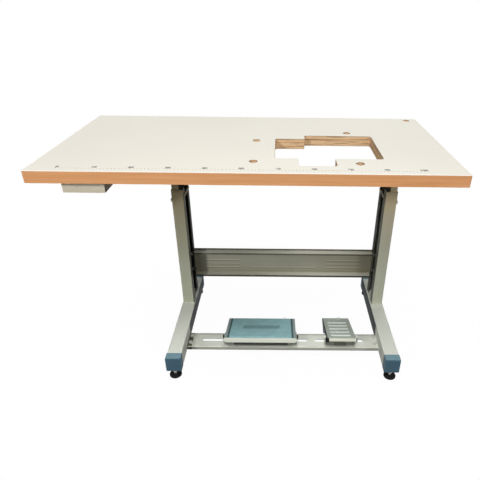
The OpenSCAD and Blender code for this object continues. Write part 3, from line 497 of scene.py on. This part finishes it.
def brace_paint():
    """The cross brace's coat, a darker copy of the stand's paint as painted shade: painted highlights
    on its raised ribs' crests and painted shade at their feet, painted light on its upward faces,
    and painted shade at its ends, front edges and low part."""
    m = powder_coat("brace_paint", *BRACE_SHADED_CLOUDS)
    lo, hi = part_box("cross_brace")
    aside = m.away("X", STAND_X)
    short = m.all_of(m.more(aside, RIB_FROM), m.less(aside, RIB_TO))
    with_long = m.calc("MAXIMUM", short, m.less(aside, LONG_RIB))
    light = 0.0
    dark = 0.0
    for row in RIB_ROWS:
        here = with_long if row == RIB_ROWS[0] else short
        middle = lo.z + row
        place = m.rise(m.axis("Z"), middle - 2 * RIB_HALF, middle + 2 * RIB_HALF)
        crest = m.ramp(place, (0.48, 0.0), (0.62, 1.0), (0.74, 0.0))
        foot = m.ramp(place, (0.16, 0.0), (0.30, 1.0), (0.46, 0.0))
        light = m.calc("MAXIMUM", light, m.all_of(crest, here))
        dark = m.calc("MAXIMUM", dark, m.all_of(foot, here))
    m.coat(light, RIB_HIGHLIGHT, 0.75)
    m.coat(dark, RIB_SHADE, 0.75)

    m.coat(m.rise(m.axis("X"), lo.x + LEFT_END, lo.x + LEFT_FULL), BRACE_LEFT_SHADOW, 0.55)
    m.coat(m.rise(m.axis("X"), hi.x - RIGHT_END, hi.x - RIGHT_FULL), BRACE_RIGHT_SHADE, 0.5)
    upward = m.more(m.facing("Z"), 0.5)
    m.coat(m.all_of(upward, m.more(m.axis("Z"), hi.z - SHELF_DEPTH)), BRACE_SHELF_LIGHT, 0.3)
    m.coat(m.rise(m.axis("Z"), lo.z + LOW_END, lo.z + LOW_FULL), BRACE_LOW_SHADE, 0.35)
    m.coat(m.all_of(upward, m.less(m.axis("Z"), lo.z + RIM_HEIGHT)), BRACE_RIM_LIGHT, 0.8)
    m.coat(m.more(m.axis("Z"), hi.z - UPSTAND), BRACE_EDGE_SHADE, 0.8)
    m.coat(m.less(m.axis("Y"), lo.y + FRONT_EDGE), BRACE_EDGE_SHADE, 0.7)
    m.coat(m.less(m.axis("Z"), lo.z + DROP), BRACE_EDGE_SHADE, 0.55)
    return m.data


# The pedals' paints

TREADLE_CLOUDS = ((164, 183, 180), (155, 173, 171))
# Painted highlight on the treadle's rolled front edge
TREADLE_FRONT_HIGHLIGHT = (238, 243, 231)
FRONT_GAP = 2 * MM


def treadle_paint():
    """The treadle's darker plate with a painted highlight on its rolled front edge."""
    m = powder_coat("treadle_paint", *TREADLE_CLOUDS)
    m.coat(m.less(m.axis("Y"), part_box("treadle_mat")[0].y - FRONT_GAP), TREADLE_FRONT_HIGHLIGHT)
    return m.data


LIFT_CLOUDS = ((184, 194, 184), (174, 184, 174))
# Painted shade on the lifting pedal's left cheek
LIFT_CHEEK_SHADE = (30, 37, 47)
# Painted highlight on the lifting pedal's ribs
LIFT_RIB_HIGHLIGHT = (248, 255, 251)
# Painted highlight on the lifting pedal's rolled edge
LIFT_ROLL_HIGHLIGHT = (230, 234, 217)
LIFT_TILT = math.radians(17.5)
# The plate's face out of the pivot, the ribs' height over it, and the roll's place along it
LIFT_PLATE = 10.3 * MM
RIB_TOPS = 0.4 * MM
ROLL_AT = -31 * MM
CHEEK_WIDTH = 2.5 * MM


def lift_paint():
    """The lifting pedal's grey paint, with painted highlights on its ribs and its rolled edge, and
    painted shade on its left cheek."""
    m = powder_coat("lift_paint", *LIFT_CLOUDS)
    x, y, z = PIVOTS["lift_tilt"]
    c, n = math.cos(LIFT_TILT), math.sin(LIFT_TILT)
    back = m.calc("SUBTRACT", m.axis("Y"), y)
    up = m.calc("SUBTRACT", m.axis("Z"), z)
    out = m.calc("ADD", m.calc("MULTIPLY", back, n), m.calc("MULTIPLY", up, c))
    along = m.calc("SUBTRACT", m.calc("MULTIPLY", back, c), m.calc("MULTIPLY", up, n))
    m.coat(m.less(m.axis("X"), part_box("lift_pedal")[0].x + CHEEK_WIDTH), LIFT_CHEEK_SHADE)
    m.coat(m.more(out, LIFT_PLATE + RIB_TOPS), LIFT_RIB_HIGHLIGHT)
    m.coat(m.less(along, ROLL_AT), LIFT_ROLL_HIGHLIGHT)
    return m.data


# Metal, plastic, rubber and ink

ZINC_CLOUDS = ((232, 231, 226), (208, 207, 200))


def zinc():
    """Zinc-plated steel: cool, streaked and a little blotchy."""
    m = Material("zinc_steel", 0.36, metallic=0.35)
    m.colour(m.clouds(m.noise(160.0, 3.0), *ZINC_CLOUDS))
    m.roughness(m.noise(300.0, 3.0), 0.28, 0.48)
    m.bump(m.noise(1.0, 2.0, m.stretched(900.0, 900.0, 260.0)), 0.03 * MM, 0.4)
    return m.data


def moulded(name, light, dark, roughness, specular=0.1):
    """Moulded plastic: fine spark-eroded grain and faint flow clouds."""
    m = Material(name, roughness, specular=specular)
    m.colour(m.clouds(m.noise(16.0, 3.0), light, dark))
    m.roughness(m.noise(40.0, 4.0), roughness - 0.06, roughness + 0.10)
    m.bump(m.noise(480.0, 2.0), 0.07 * MM, 0.45)
    return m


DRAWER_CLOUDS = ((246, 236, 216), (240, 229, 208))
# Painted shade on the drawer's sides
DRAWER_SIDE_SHADE = (120, 108, 98)
CAP_CLOUDS = ((80, 112, 128), (73, 104, 121))
# Painted light on the caps' upward faces
CAP_TOP_LIGHT = (126, 158, 172)


def drawer_plastic():
    """The drawer's pale plastic, with painted shade on its sides."""
    m = moulded("drawer_plastic", *DRAWER_CLOUDS, 0.5, specular=0.05)
    m.coat(m.more(m.calc("ABSOLUTE", m.facing("X")), 0.6), DRAWER_SIDE_SHADE, 0.9)
    return m.data


def cap_plastic():
    """The end caps' blue plastic, with painted light on top."""
    m = moulded("cap_plastic", *CAP_CLOUDS, 0.5)
    m.coat(m.more(m.facing("Z"), 0.6), CAP_TOP_LIGHT, 0.9)
    return m.data


def rubber(name, light, dark, roughness):
    """Moulded rubber: dusty, dull, with a pebbled surface."""
    m = Material(name, roughness, specular=0.15)
    m.colour(m.clouds(m.noise(30.0, 6.0), dark, light, 0.38, 0.66))
    m.roughness(m.noise(60.0, 4.0), roughness - 0.08, roughness + 0.12)
    m.bump(m.cells(520.0), 0.12 * MM, 0.55)
    return m.data


MAT_CLOUDS = ((155, 197, 203), (163, 208, 213))
MAT_EDGE = (52, 66, 76)
MAT_BORDER = 6.9 * MM


def mat_rubber():
    """The treadle's mat: blue-grey rubber, darker along its thin side borders."""
    m = Material("mat_rubber", 0.66, specular=0.15)
    m.colour(m.clouds(m.noise(30.0, 6.0), *MAT_CLOUDS, 0.36, 0.68))
    lo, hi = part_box("treadle_mat")
    aside = m.away("X", (lo.x + hi.x) / 2)
    m.coat(m.more(aside, (hi.x - lo.x) / 2 - MAT_BORDER), MAT_EDGE, 0.85)
    m.roughness(m.noise(60.0, 4.0), 0.56, 0.78)
    m.bump(m.cells(520.0), 0.10 * MM, 0.5)
    return m.data


INK_CLOUDS = ((52, 51, 50), (84, 82, 78))


def ink():
    """Printed ruler ink: dark grey, thin in places."""
    m = Material("ruler_ink", 0.5, specular=0.3)
    m.colour(m.clouds(m.noise(900.0, 2.0), *INK_CLOUDS, high=0.75))
    m.bump(m.noise(900.0, 1.0), 0.01 * MM, 0.3)
    return m.data


# The finish of each slot, and of the nodes that have one of their own

PEDAL_CLOUDS = ((176, 180, 170), (164, 168, 158))
BLACK_RUBBER = ((38, 38, 40), (22, 22, 24))
BLACK_PLASTIC = ((26, 26, 28), (18, 18, 20))
BLACK_OXIDE = ((52, 52, 50), (40, 40, 40))
# The grip bars' rubber is darker than the mat: painted shade for the grooves between grip strokes
GRIP_SHADE_RUBBER = ((92, 122, 127), (80, 110, 116))

FINISH = {
    "white_laminate": laminate(),
    "backing_laminate": backing(),
    "plywood": plywood(),
    "edge_band": band(),
    "stand_paint": stand_paint(),
    "pedal_paint": powder_coat("pedal_paint", *PEDAL_CLOUDS, 0.42).data,
    "zinc_steel": zinc(),
    "cap_plastic": cap_plastic(),
    "mat_rubber": mat_rubber(),
    "black_rubber": rubber("black_rubber", *BLACK_RUBBER, 0.72),
    "black_plastic": moulded("black_plastic", *BLACK_PLASTIC, 0.4).data,
    "drawer_plastic": drawer_plastic(),
}
COLUMN_FINISH = column_paint("column_paint", False)
POST_FINISH = column_paint("post_paint", True)
OWN_FINISH = {
    "left_column": COLUMN_FINISH,
    "right_column": COLUMN_FINISH,
    "column_straps": COLUMN_FINISH,
    "left_inner_post": POST_FINISH,
    "right_inner_post": POST_FINISH,
    "cross_brace": brace_paint(),
    "treadle_frame": treadle_paint(),
    "lift_pedal": lift_paint(),
    "treadle_pivots": moulded("black_oxide", *BLACK_OXIDE, 0.4).data,
}
INK = ink()
GRIP = rubber("grip_shade_rubber", *GRIP_SHADE_RUBBER, 0.6)

EDGE_ROUND = {"stand_paint": 0.5 * MM, "pedal_paint": 0.4 * MM, "cap_plastic": 0.6 * MM,
              "drawer_plastic": 0.5 * MM, "zinc_steel": 0.25 * MM}
EDGE_ANGLE = math.radians(50)
SAME_POINT = 0.002 * MM


def dress_nodes():
    """Gives every CAD node its finish, and rounds the edges of sheet metal and mouldings."""
    for part in frame["record"]["subparts"]:
        node = nodes[part["node"]]
        finish = part["material_slot"]
        node.data.materials.clear()
        node.data.materials.append(OWN_FINISH.get(part["node"], FINISH[finish]))
        if finish in EDGE_ROUND:
            weld = node.modifiers.new("weld", "WELD")
            weld.merge_threshold = SAME_POINT
            round_edges = node.modifiers.new("edges", "BEVEL")
            round_edges.width = EDGE_ROUND[finish]
            round_edges.segments = 2
            round_edges.limit_method = "ANGLE"
            round_edges.angle_limit = EDGE_ANGLE
            round_edges.use_clamp_overlap = True
            round_edges.harden_normals = True


# New pieces

def ride_along(name, mesh, body):
    """Puts a mesh of the model's frame in the scene, on the body that it moves with."""
    made = bpy.data.objects.new(name, mesh)
    bpy.context.scene.collection.objects.link(made)
    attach(made, body)


def piece(name, verts, faces, finish, body, smooth=False):
    """A piece from its points and faces."""
    mesh = bpy.data.meshes.new(name)
    mesh.from_pydata(verts, [], faces)
    mesh.validate()
    mesh.materials.append(finish)
    if smooth:
        mesh.shade_smooth()
    ride_along(name, mesh, body)


INK_Z = top_hi.z + 0.05 * MM
RULER_START = top_lo.x + 79.8 * MM
NUMBERS_Y = top_lo.y + 37.5 * MM
RULER_MARKS = 11
RULER_STEP = 100 * MM
TICK_Y = top_lo.y + 26 * MM
TICK_HALF = 0.9 * MM
TICK_LONG, TICK_MIDDLE, TICK_SHORT = 5.5 * MM, 4.2 * MM, 2.8 * MM
TICKS_A_STEP = 10
DIGIT_H = 11 * MM
DIGIT_SHARE = 0.72
DIGIT_SWELL = 0.7 * MM


def ruler_ticks():
    """A tick each centimetre, longer at each fifth and tenth, printed on the laminate."""
    verts = []
    faces = []
    for i in range((RULER_MARKS - 1) * TICKS_A_STEP + 1):
        x = RULER_START + i * RULER_STEP / TICKS_A_STEP
        if i % TICKS_A_STEP == 0:
            end = TICK_Y + TICK_LONG
        elif i % (TICKS_A_STEP // 2) == 0:
            end = TICK_Y + TICK_MIDDLE
        else:
            end = TICK_Y + TICK_SHORT
        first = len(verts)
        verts += [(x - TICK_HALF, TICK_Y, INK_Z), (x + TICK_HALF, TICK_Y, INK_Z),
                  (x + TICK_HALF, end, INK_Z), (x - TICK_HALF, end, INK_Z)]
        faces.append(tuple(range(first, first + 4)))
    piece("ruler_ticks", verts, faces, INK, "top_unit")


def ruler_numbers():
    """Plain centimetre numbers behind the ruler's long ticks."""
    for i in range(RULER_MARKS):
        text = bpy.data.curves.new(f"ruler_number_{i}", "FONT")
        text.body = str(TICKS_A_STEP * i)
        text.size = DIGIT_H / DIGIT_SHARE
        text.offset = DIGIT_SWELL
        text.align_x = "CENTER"
        text.align_y = "CENTER"
        holder = bpy.data.objects.new("holder", text)
        holder.location = (RULER_START + i * RULER_STEP, NUMBERS_Y, INK_Z)
        bpy.context.scene.collection.objects.link(holder)
        bpy.context.view_layer.update()
        mesh = bpy.data.meshes.new_from_object(holder)
        mesh.transform(holder.matrix_world)
        bpy.data.objects.remove(holder)
        mesh.materials.clear()
        mesh.materials.append(INK)
        ride_along(f"ruler_number_{i}", mesh, "top_unit")


TREADLE_TILT = math.radians(15.6)
# The mat's face out of the treadle's pivot
MAT_TOP = 13.7 * MM
GRIP_COUNT = 22
GRIP_PITCH = 6.2 * MM
GRIP_SHIFT = 2 * MM
GRIP_FROM, GRIP_TO = 38 * MM, 66 * MM
GRIP_LEAN = 5 * MM
GRIP_HALF = 1.3 * MM
GRIP_SUNK = 0.2 * MM
GRIP_RISE = 0.7 * MM
GRIP_LEVELS = ((-GRIP_SUNK, 1.0), (0.7 * GRIP_RISE, 1.0), (GRIP_RISE, 0.9))


def on_treadle(u, v, w):
    """A place given along, across and out of the treadle's plate, in the model's frame."""
    c, n = math.cos(TREADLE_TILT), math.sin(TREADLE_TILT)
    x, y, z = PIVOTS["treadle_tilt"]
    return (x + u, y + v * c + w * n, z - v * n + w * c)


def grip_bars():
    """Slanting bars raised on the mat, as rubber pedal mats have for grip."""
    verts = []
    faces = []
    for i in range(GRIP_COUNT):
        u = (i - (GRIP_COUNT - 1) / 2) * GRIP_PITCH - GRIP_SHIFT
        ring = [(u - GRIP_HALF, GRIP_FROM), (u + GRIP_HALF, GRIP_FROM),
                (u + GRIP_HALF + GRIP_LEAN, GRIP_TO), (u - GRIP_HALF + GRIP_LEAN, GRIP_TO)]
        centre = (u + GRIP_LEAN / 2, (GRIP_FROM + GRIP_TO) / 2)
        first = len(verts)
        for w, size in GRIP_LEVELS:
            for a, b in ring:
                verts.append(on_treadle(centre[0] + (a - centre[0]) * size,
                                        centre[1] + (b - centre[1]) * size, MAT_TOP + w))
        for level in (0, 4):
            for k in range(4):
                a, b = first + level + k, first + level + (k + 1) % 4
                faces.append((a, b, b + 4, a + 4))
        faces.append(tuple(range(first + 8, first + 12)))
        faces.append(tuple(range(first + 3, first - 1, -1)))
    piece("mat_grip", verts, faces, GRIP, "treadle")


# The cap starts this far past the end plug
CAP_PAST, CAP_LENGTH = 2 * MM, 11.5 * MM
CAP_R, CAP_WALL = 7.3 * MM, 1.1 * MM
CAP_BEAD = 0.35 * MM
CAP_RINGS = (4 * MM, 7 * MM)
RING_HALF = 0.5 * MM
CAP_SIDES = 32


def roll_cap():
    """A soft cap pulled over the left end of the lifting pedal's roll, with a rim and two rings."""
    plug_lo, plug_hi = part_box("lift_end_plugs")
    y, z = (plug_lo.y + plug_hi.y) / 2, (plug_lo.z + plug_hi.z) / 2
    start, r = plug_lo.x - CAP_PAST, CAP_R
    end = start + CAP_LENGTH
    profile = [(start, 0.0), (start, r - 1.6 * MM), (start + 0.5 * MM, r - 0.5 * MM),
               (start + 1.4 * MM, r)]
    for at in CAP_RINGS:
        profile += [(start + at - RING_HALF, r), (start + at, r - CAP_BEAD),
                    (start + at + RING_HALF, r)]
    profile += [(end - 1.5 * MM, r), (end - 1.3 * MM, r + CAP_BEAD),
                (end - 0.3 * MM, r + CAP_BEAD), (end, r), (end, r - CAP_WALL),
                (start + CAP_WALL, r - CAP_WALL), (start + CAP_WALL, 0.0)]
    verts = []
    faces = []
    for x, radius in profile:
        for k in range(CAP_SIDES):
            a = 2 * math.pi * k / CAP_SIDES
            verts.append((x, y + radius * math.cos(a), z + radius * math.sin(a)))
    for i in range(len(profile) - 1):
        for k in range(CAP_SIDES):
            a, b = i * CAP_SIDES + k, i * CAP_SIDES + (k + 1) % CAP_SIDES
            faces.append((a, b, b + CAP_SIDES, a + CAP_SIDES))
    piece("lift_roll_cap", verts, faces, FINISH["black_rubber"], "lifting_pedal")


BEAD_R = 1.9 * MM
STRAP_BEAD_R = 1.3 * MM
POST_BEAD_R = 1.5 * MM
BEAD_RIPPLE = 2.4 * MM
BEAD_SIDES = 8
BLUNT_END = 0.35
RIPPLE_DEPTH = 0.10
WELD_INSET = 3 * MM
STRAP_INSET = 2 * MM


def bead(verts, faces, start, end, radius=BEAD_R):
    """Adds a rippled weld bead from one place to another, with blunt ends."""
    start, end = Vector(start), Vector(end)
    way = end - start
    length = way.length
    way.normalize()
    across = way.orthogonal().normalized()
    other = way.cross(across)
    steps = max(6, int(length / (BEAD_RIPPLE / 4)))
    first = len(verts)
    for i in range(steps + 1):
        along = length * i / steps
        blunt = min(1.0, BLUNT_END + (1 - BLUNT_END) * min(along, length - along) / radius)
        ripple = 1 - RIPPLE_DEPTH + RIPPLE_DEPTH * math.cos(2 * math.pi * along / BEAD_RIPPLE)
        for k in range(BEAD_SIDES):
            a = 2 * math.pi * k / BEAD_SIDES
            out = (across * math.cos(a) + other * math.sin(a)) * (radius * blunt * ripple)
            verts.append(tuple(start + way * along + out))
    for i in range(steps):
        for k in range(BEAD_SIDES):
            a = first + i * BEAD_SIDES + k
            b = first + i * BEAD_SIDES + (k + 1) % BEAD_SIDES
            faces.append((a, b, b + BEAD_SIDES, a + BEAD_SIDES))
    faces.append(tuple(range(first + BEAD_SIDES - 1, first - 1, -1)))
    last = first + steps * BEAD_SIDES
    faces.append(tuple(range(last, last + BEAD_SIDES)))


def stand_welds():
    """Beads round the columns' feet and at the ends of the straps, under the paint."""
    verts = []
    faces = []
    for side in ("left", "right"):
        lo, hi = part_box(side + "_column")
        for x in (lo.x, hi.x):
            bead(verts, faces, (x, lo.y + WELD_INSET, FOOT_TOP), (x, hi.y - WELD_INSET, FOOT_TOP))
        for y in (lo.y, hi.y):
            bead(verts, faces, (lo.x + WELD_INSET, y, FOOT_TOP), (hi.x - WELD_INSET, y, FOOT_TOP))
    lo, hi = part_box("column_straps")
    for x in (lo.x + STRAP_INSET, hi.x - STRAP_INSET):
        for y in (lo.y, hi.y):
            bead(verts, faces, (x, y, lo.z + MM), (x, y, hi.z - MM), STRAP_BEAD_R)
    piece("stand_welds", verts, faces, FINISH["stand_paint"], "stand", smooth=True)


def arm_welds():
    """Beads where each inner post meets the arm under the top."""
    verts = []
    faces = []
    for side in ("left", "right"):
        lo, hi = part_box(side + "_inner_post")
        for y in (lo.y, hi.y):
            bead(verts, faces, (lo.x + WELD_INSET, y, hi.z), (hi.x - WELD_INSET, y, hi.z),
                 POST_BEAD_R)
        x = lo.x if side == "left" else hi.x
        bead(verts, faces, (x, lo.y + WELD_INSET, hi.z), (x, hi.y - WELD_INSET, hi.z),
             POST_BEAD_R)
    piece("arm_welds", verts, faces, FINISH["stand_paint"], "top_unit", smooth=True)


# Stage, camera and light

LENS = 33.80
SENSOR = 36.0
SHIFT_X = -0.0875
CAMERA_AT = Vector((83.33, -1430.69, 1188.78)) * MM
PITCH, YAW, ROLL = (math.radians(v) for v in (-29.114, -0.522, -0.800))


def camera():
    """The photograph's view: position, direction and lens worked out from the top's corners."""
    turn = (Matrix.Rotation(YAW, 3, "Z") @ Matrix.Rotation(PITCH, 3, "X")
            @ Matrix.Rotation(ROLL, 3, "Y"))
    right, forward, up = (turn @ Vector(v) for v in ((1, 0, 0), (0, 1, 0), (0, 0, 1)))
    lens = bpy.data.cameras.new("camera")
    lens.lens = LENS
    lens.sensor_width = SENSOR
    lens.shift_x = SHIFT_X
    lens.clip_start = 0.01
    lens.clip_end = 100.0
    made = bpy.data.objects.new("camera", lens)
    axes = Matrix((right, up, -forward)).transposed().to_4x4()
    axes.translation = CAMERA_AT
    made.matrix_world = axes
    bpy.context.scene.collection.objects.link(made)
    bpy.context.scene.camera = made


def seen_white(tree):
    """1 for the rays that see the background: from the camera, off gloss and through glass."""
    path = tree.nodes.new("ShaderNodeLightPath").outputs
    seen = arithmetic(tree, "MAXIMUM", path["Is Camera Ray"], path["Is Glossy Ray"], True)
    return arithmetic(tree, "MAXIMUM", seen, path["Is Transmission Ray"], True)


SHADOW_KEPT = 0.03
SHADOW_REACH = 1.0
FLOOR_UNSEEN = 0.15
FLOOR_SEEN = 0.9
FLOOR_HALF = 12.0


def paper():
    """Pale matt paper seen as white, with a faint shadow close to the stand."""
    m = bpy.data.materials.new("floor_paper")
    m.use_nodes = True
    tree = m.node_tree
    tree.nodes.clear()
    seen = seen_white(tree)
    far = tree.nodes.new("ShaderNodeVectorMath")
    far.operation = "DISTANCE"
    tree.links.new(tree.nodes.new("ShaderNodeTexCoord").outputs["Object"], far.inputs[0])
    far.inputs[1].default_value = (STAND_X, 0.0, cad_lo.z)
    reach = arithmetic(tree, "DIVIDE", far.outputs["Value"], SHADOW_REACH, True)
    near = arithmetic(tree, "SUBTRACT", 1.0, reach, True)
    kept = arithmetic(tree, "MULTIPLY", near, SHADOW_KEPT, True)
    glowing = arithmetic(tree, "SUBTRACT", 1.0, kept, True)
    shade = tree.nodes.new("ShaderNodeMapRange")
    tree.links.new(seen, shade.inputs["Value"])
    shade.inputs["To Min"].default_value = FLOOR_UNSEEN
    shade.inputs["To Max"].default_value = FLOOR_SEEN
    matt = tree.nodes.new("ShaderNodeBsdfDiffuse")
    tree.links.new(shade.outputs["Result"], matt.inputs["Color"])
    glow = tree.nodes.new("ShaderNodeEmission")
    both = tree.nodes.new("ShaderNodeMixShader")
    tree.links.new(arithmetic(tree, "MULTIPLY", seen, glowing, True), both.inputs[0])
    tree.links.new(matt.outputs[0], both.inputs[1])
    tree.links.new(glow.outputs[0], both.inputs[2])
    out = tree.nodes.new("ShaderNodeOutputMaterial")
    tree.links.new(both.outputs[0], out.inputs["Surface"])
    return m


def floor():
    """A wide pale floor under the stand."""
    corners = [(x * FLOOR_HALF, y * FLOOR_HALF, cad_lo.z)
               for x, y in ((-1, -1), (1, -1), (1, 1), (-1, 1))]
    mesh = bpy.data.meshes.new("floor")
    mesh.from_pydata(corners, [], [(0, 1, 2, 3)])
    mesh.materials.append(paper())
    made = bpy.data.objects.new("floor", mesh)
    bpy.context.scene.collection.objects.link(made)


SKY = 0.03
SKY_TINT = (0.95, 0.97, 1.0, 1.0)
SKY_FROM, SKY_TO = 0.1, 0.8


def world():
    """A faint light from above and none from below, which camera, gloss and glass see as white."""
    room = bpy.data.worlds.new("room")
    room.use_nodes = True
    tree = room.node_tree
    tree.nodes.clear()
    seen = seen_white(tree)
    way = tree.nodes.new("ShaderNodeTexCoord")
    parts = tree.nodes.new("ShaderNodeSeparateXYZ")
    tree.links.new(way.outputs["Generated"], parts.inputs[0])
    height = tree.nodes.new("ShaderNodeMapRange")
    tree.links.new(parts.outputs["Z"], height.inputs["Value"])
    height.inputs["From Min"].default_value = SKY_FROM
    height.inputs["From Max"].default_value = SKY_TO
    height.inputs["To Max"].default_value = SKY
    soft = tree.nodes.new("ShaderNodeBackground")
    soft.inputs["Color"].default_value = SKY_TINT
    tree.links.new(height.outputs["Result"], soft.inputs["Strength"])
    white = tree.nodes.new("ShaderNodeBackground")
    white.inputs["Strength"].default_value = 1.0
    white.inputs["Color"].default_value = (1, 1, 1, 1)
    both = tree.nodes.new("ShaderNodeMixShader")
    tree.links.new(seen, both.inputs[0])
    tree.links.new(soft.outputs[0], both.inputs[1])
    tree.links.new(white.outputs[0], both.inputs[2])
    out = tree.nodes.new("ShaderNodeOutputWorld")
    tree.links.new(both.outputs[0], out.inputs["Surface"])
    bpy.context.scene.world = room


AIM = Vector((0.10, 0.0, 0.40))
DAYLIGHT = (1.0, 0.99, 0.975)
OVERHEAD = (1.0, 0.99, 0.98)
LAMPLIGHT = (1.0, 0.985, 0.96)
COOL = (0.97, 0.985, 1.0)


def area_light(name, azimuth, elevation, distance, size, power, colour):
    """A square soft lamp. Azimuth 0 is in front, and positive azimuths are to the right."""
    a = math.radians(azimuth)
    e = math.radians(elevation)
    back = Vector((math.sin(a) * math.cos(e), -math.cos(a) * math.cos(e), math.sin(e)))
    lamp = bpy.data.lights.new(name, "AREA")
    lamp.shape = "SQUARE"
    lamp.size = size
    lamp.energy = power
    lamp.color = colour
    made = bpy.data.objects.new(name, lamp)
    made.location = AIM + back * distance
    made.rotation_mode = "QUATERNION"
    made.rotation_quaternion = (-back).to_track_quat("-Z", "Y")
    bpy.context.scene.collection.objects.link(made)


def lights():
    """Windows high up in front and overhead, a small lamp on the left that draws shadows, a fill
    from the right and a weak one from behind."""
    area_light("window", -4, 62, 5.0, 2.0, 76, DAYLIGHT)
    area_light("roof", 0, 84, 5.0, 2.0, 95, OVERHEAD)
    area_light("lamp", -30, 28, 4.0, 0.35, 52, LAMPLIGHT)
    area_light("fill", 30, 20, 4.0, 0.8, 30, LAMPLIGHT)
    area_light("rear", 165, 40, 5.0, 2.0, 42, COOL)


dress_nodes()
ruler_ticks()
ruler_numbers()
grip_bars()
roll_cap()
stand_welds()
arm_welds()
camera()
world()
floor()
lights()
bpy.context.scene.view_settings.view_transform = "Standard"
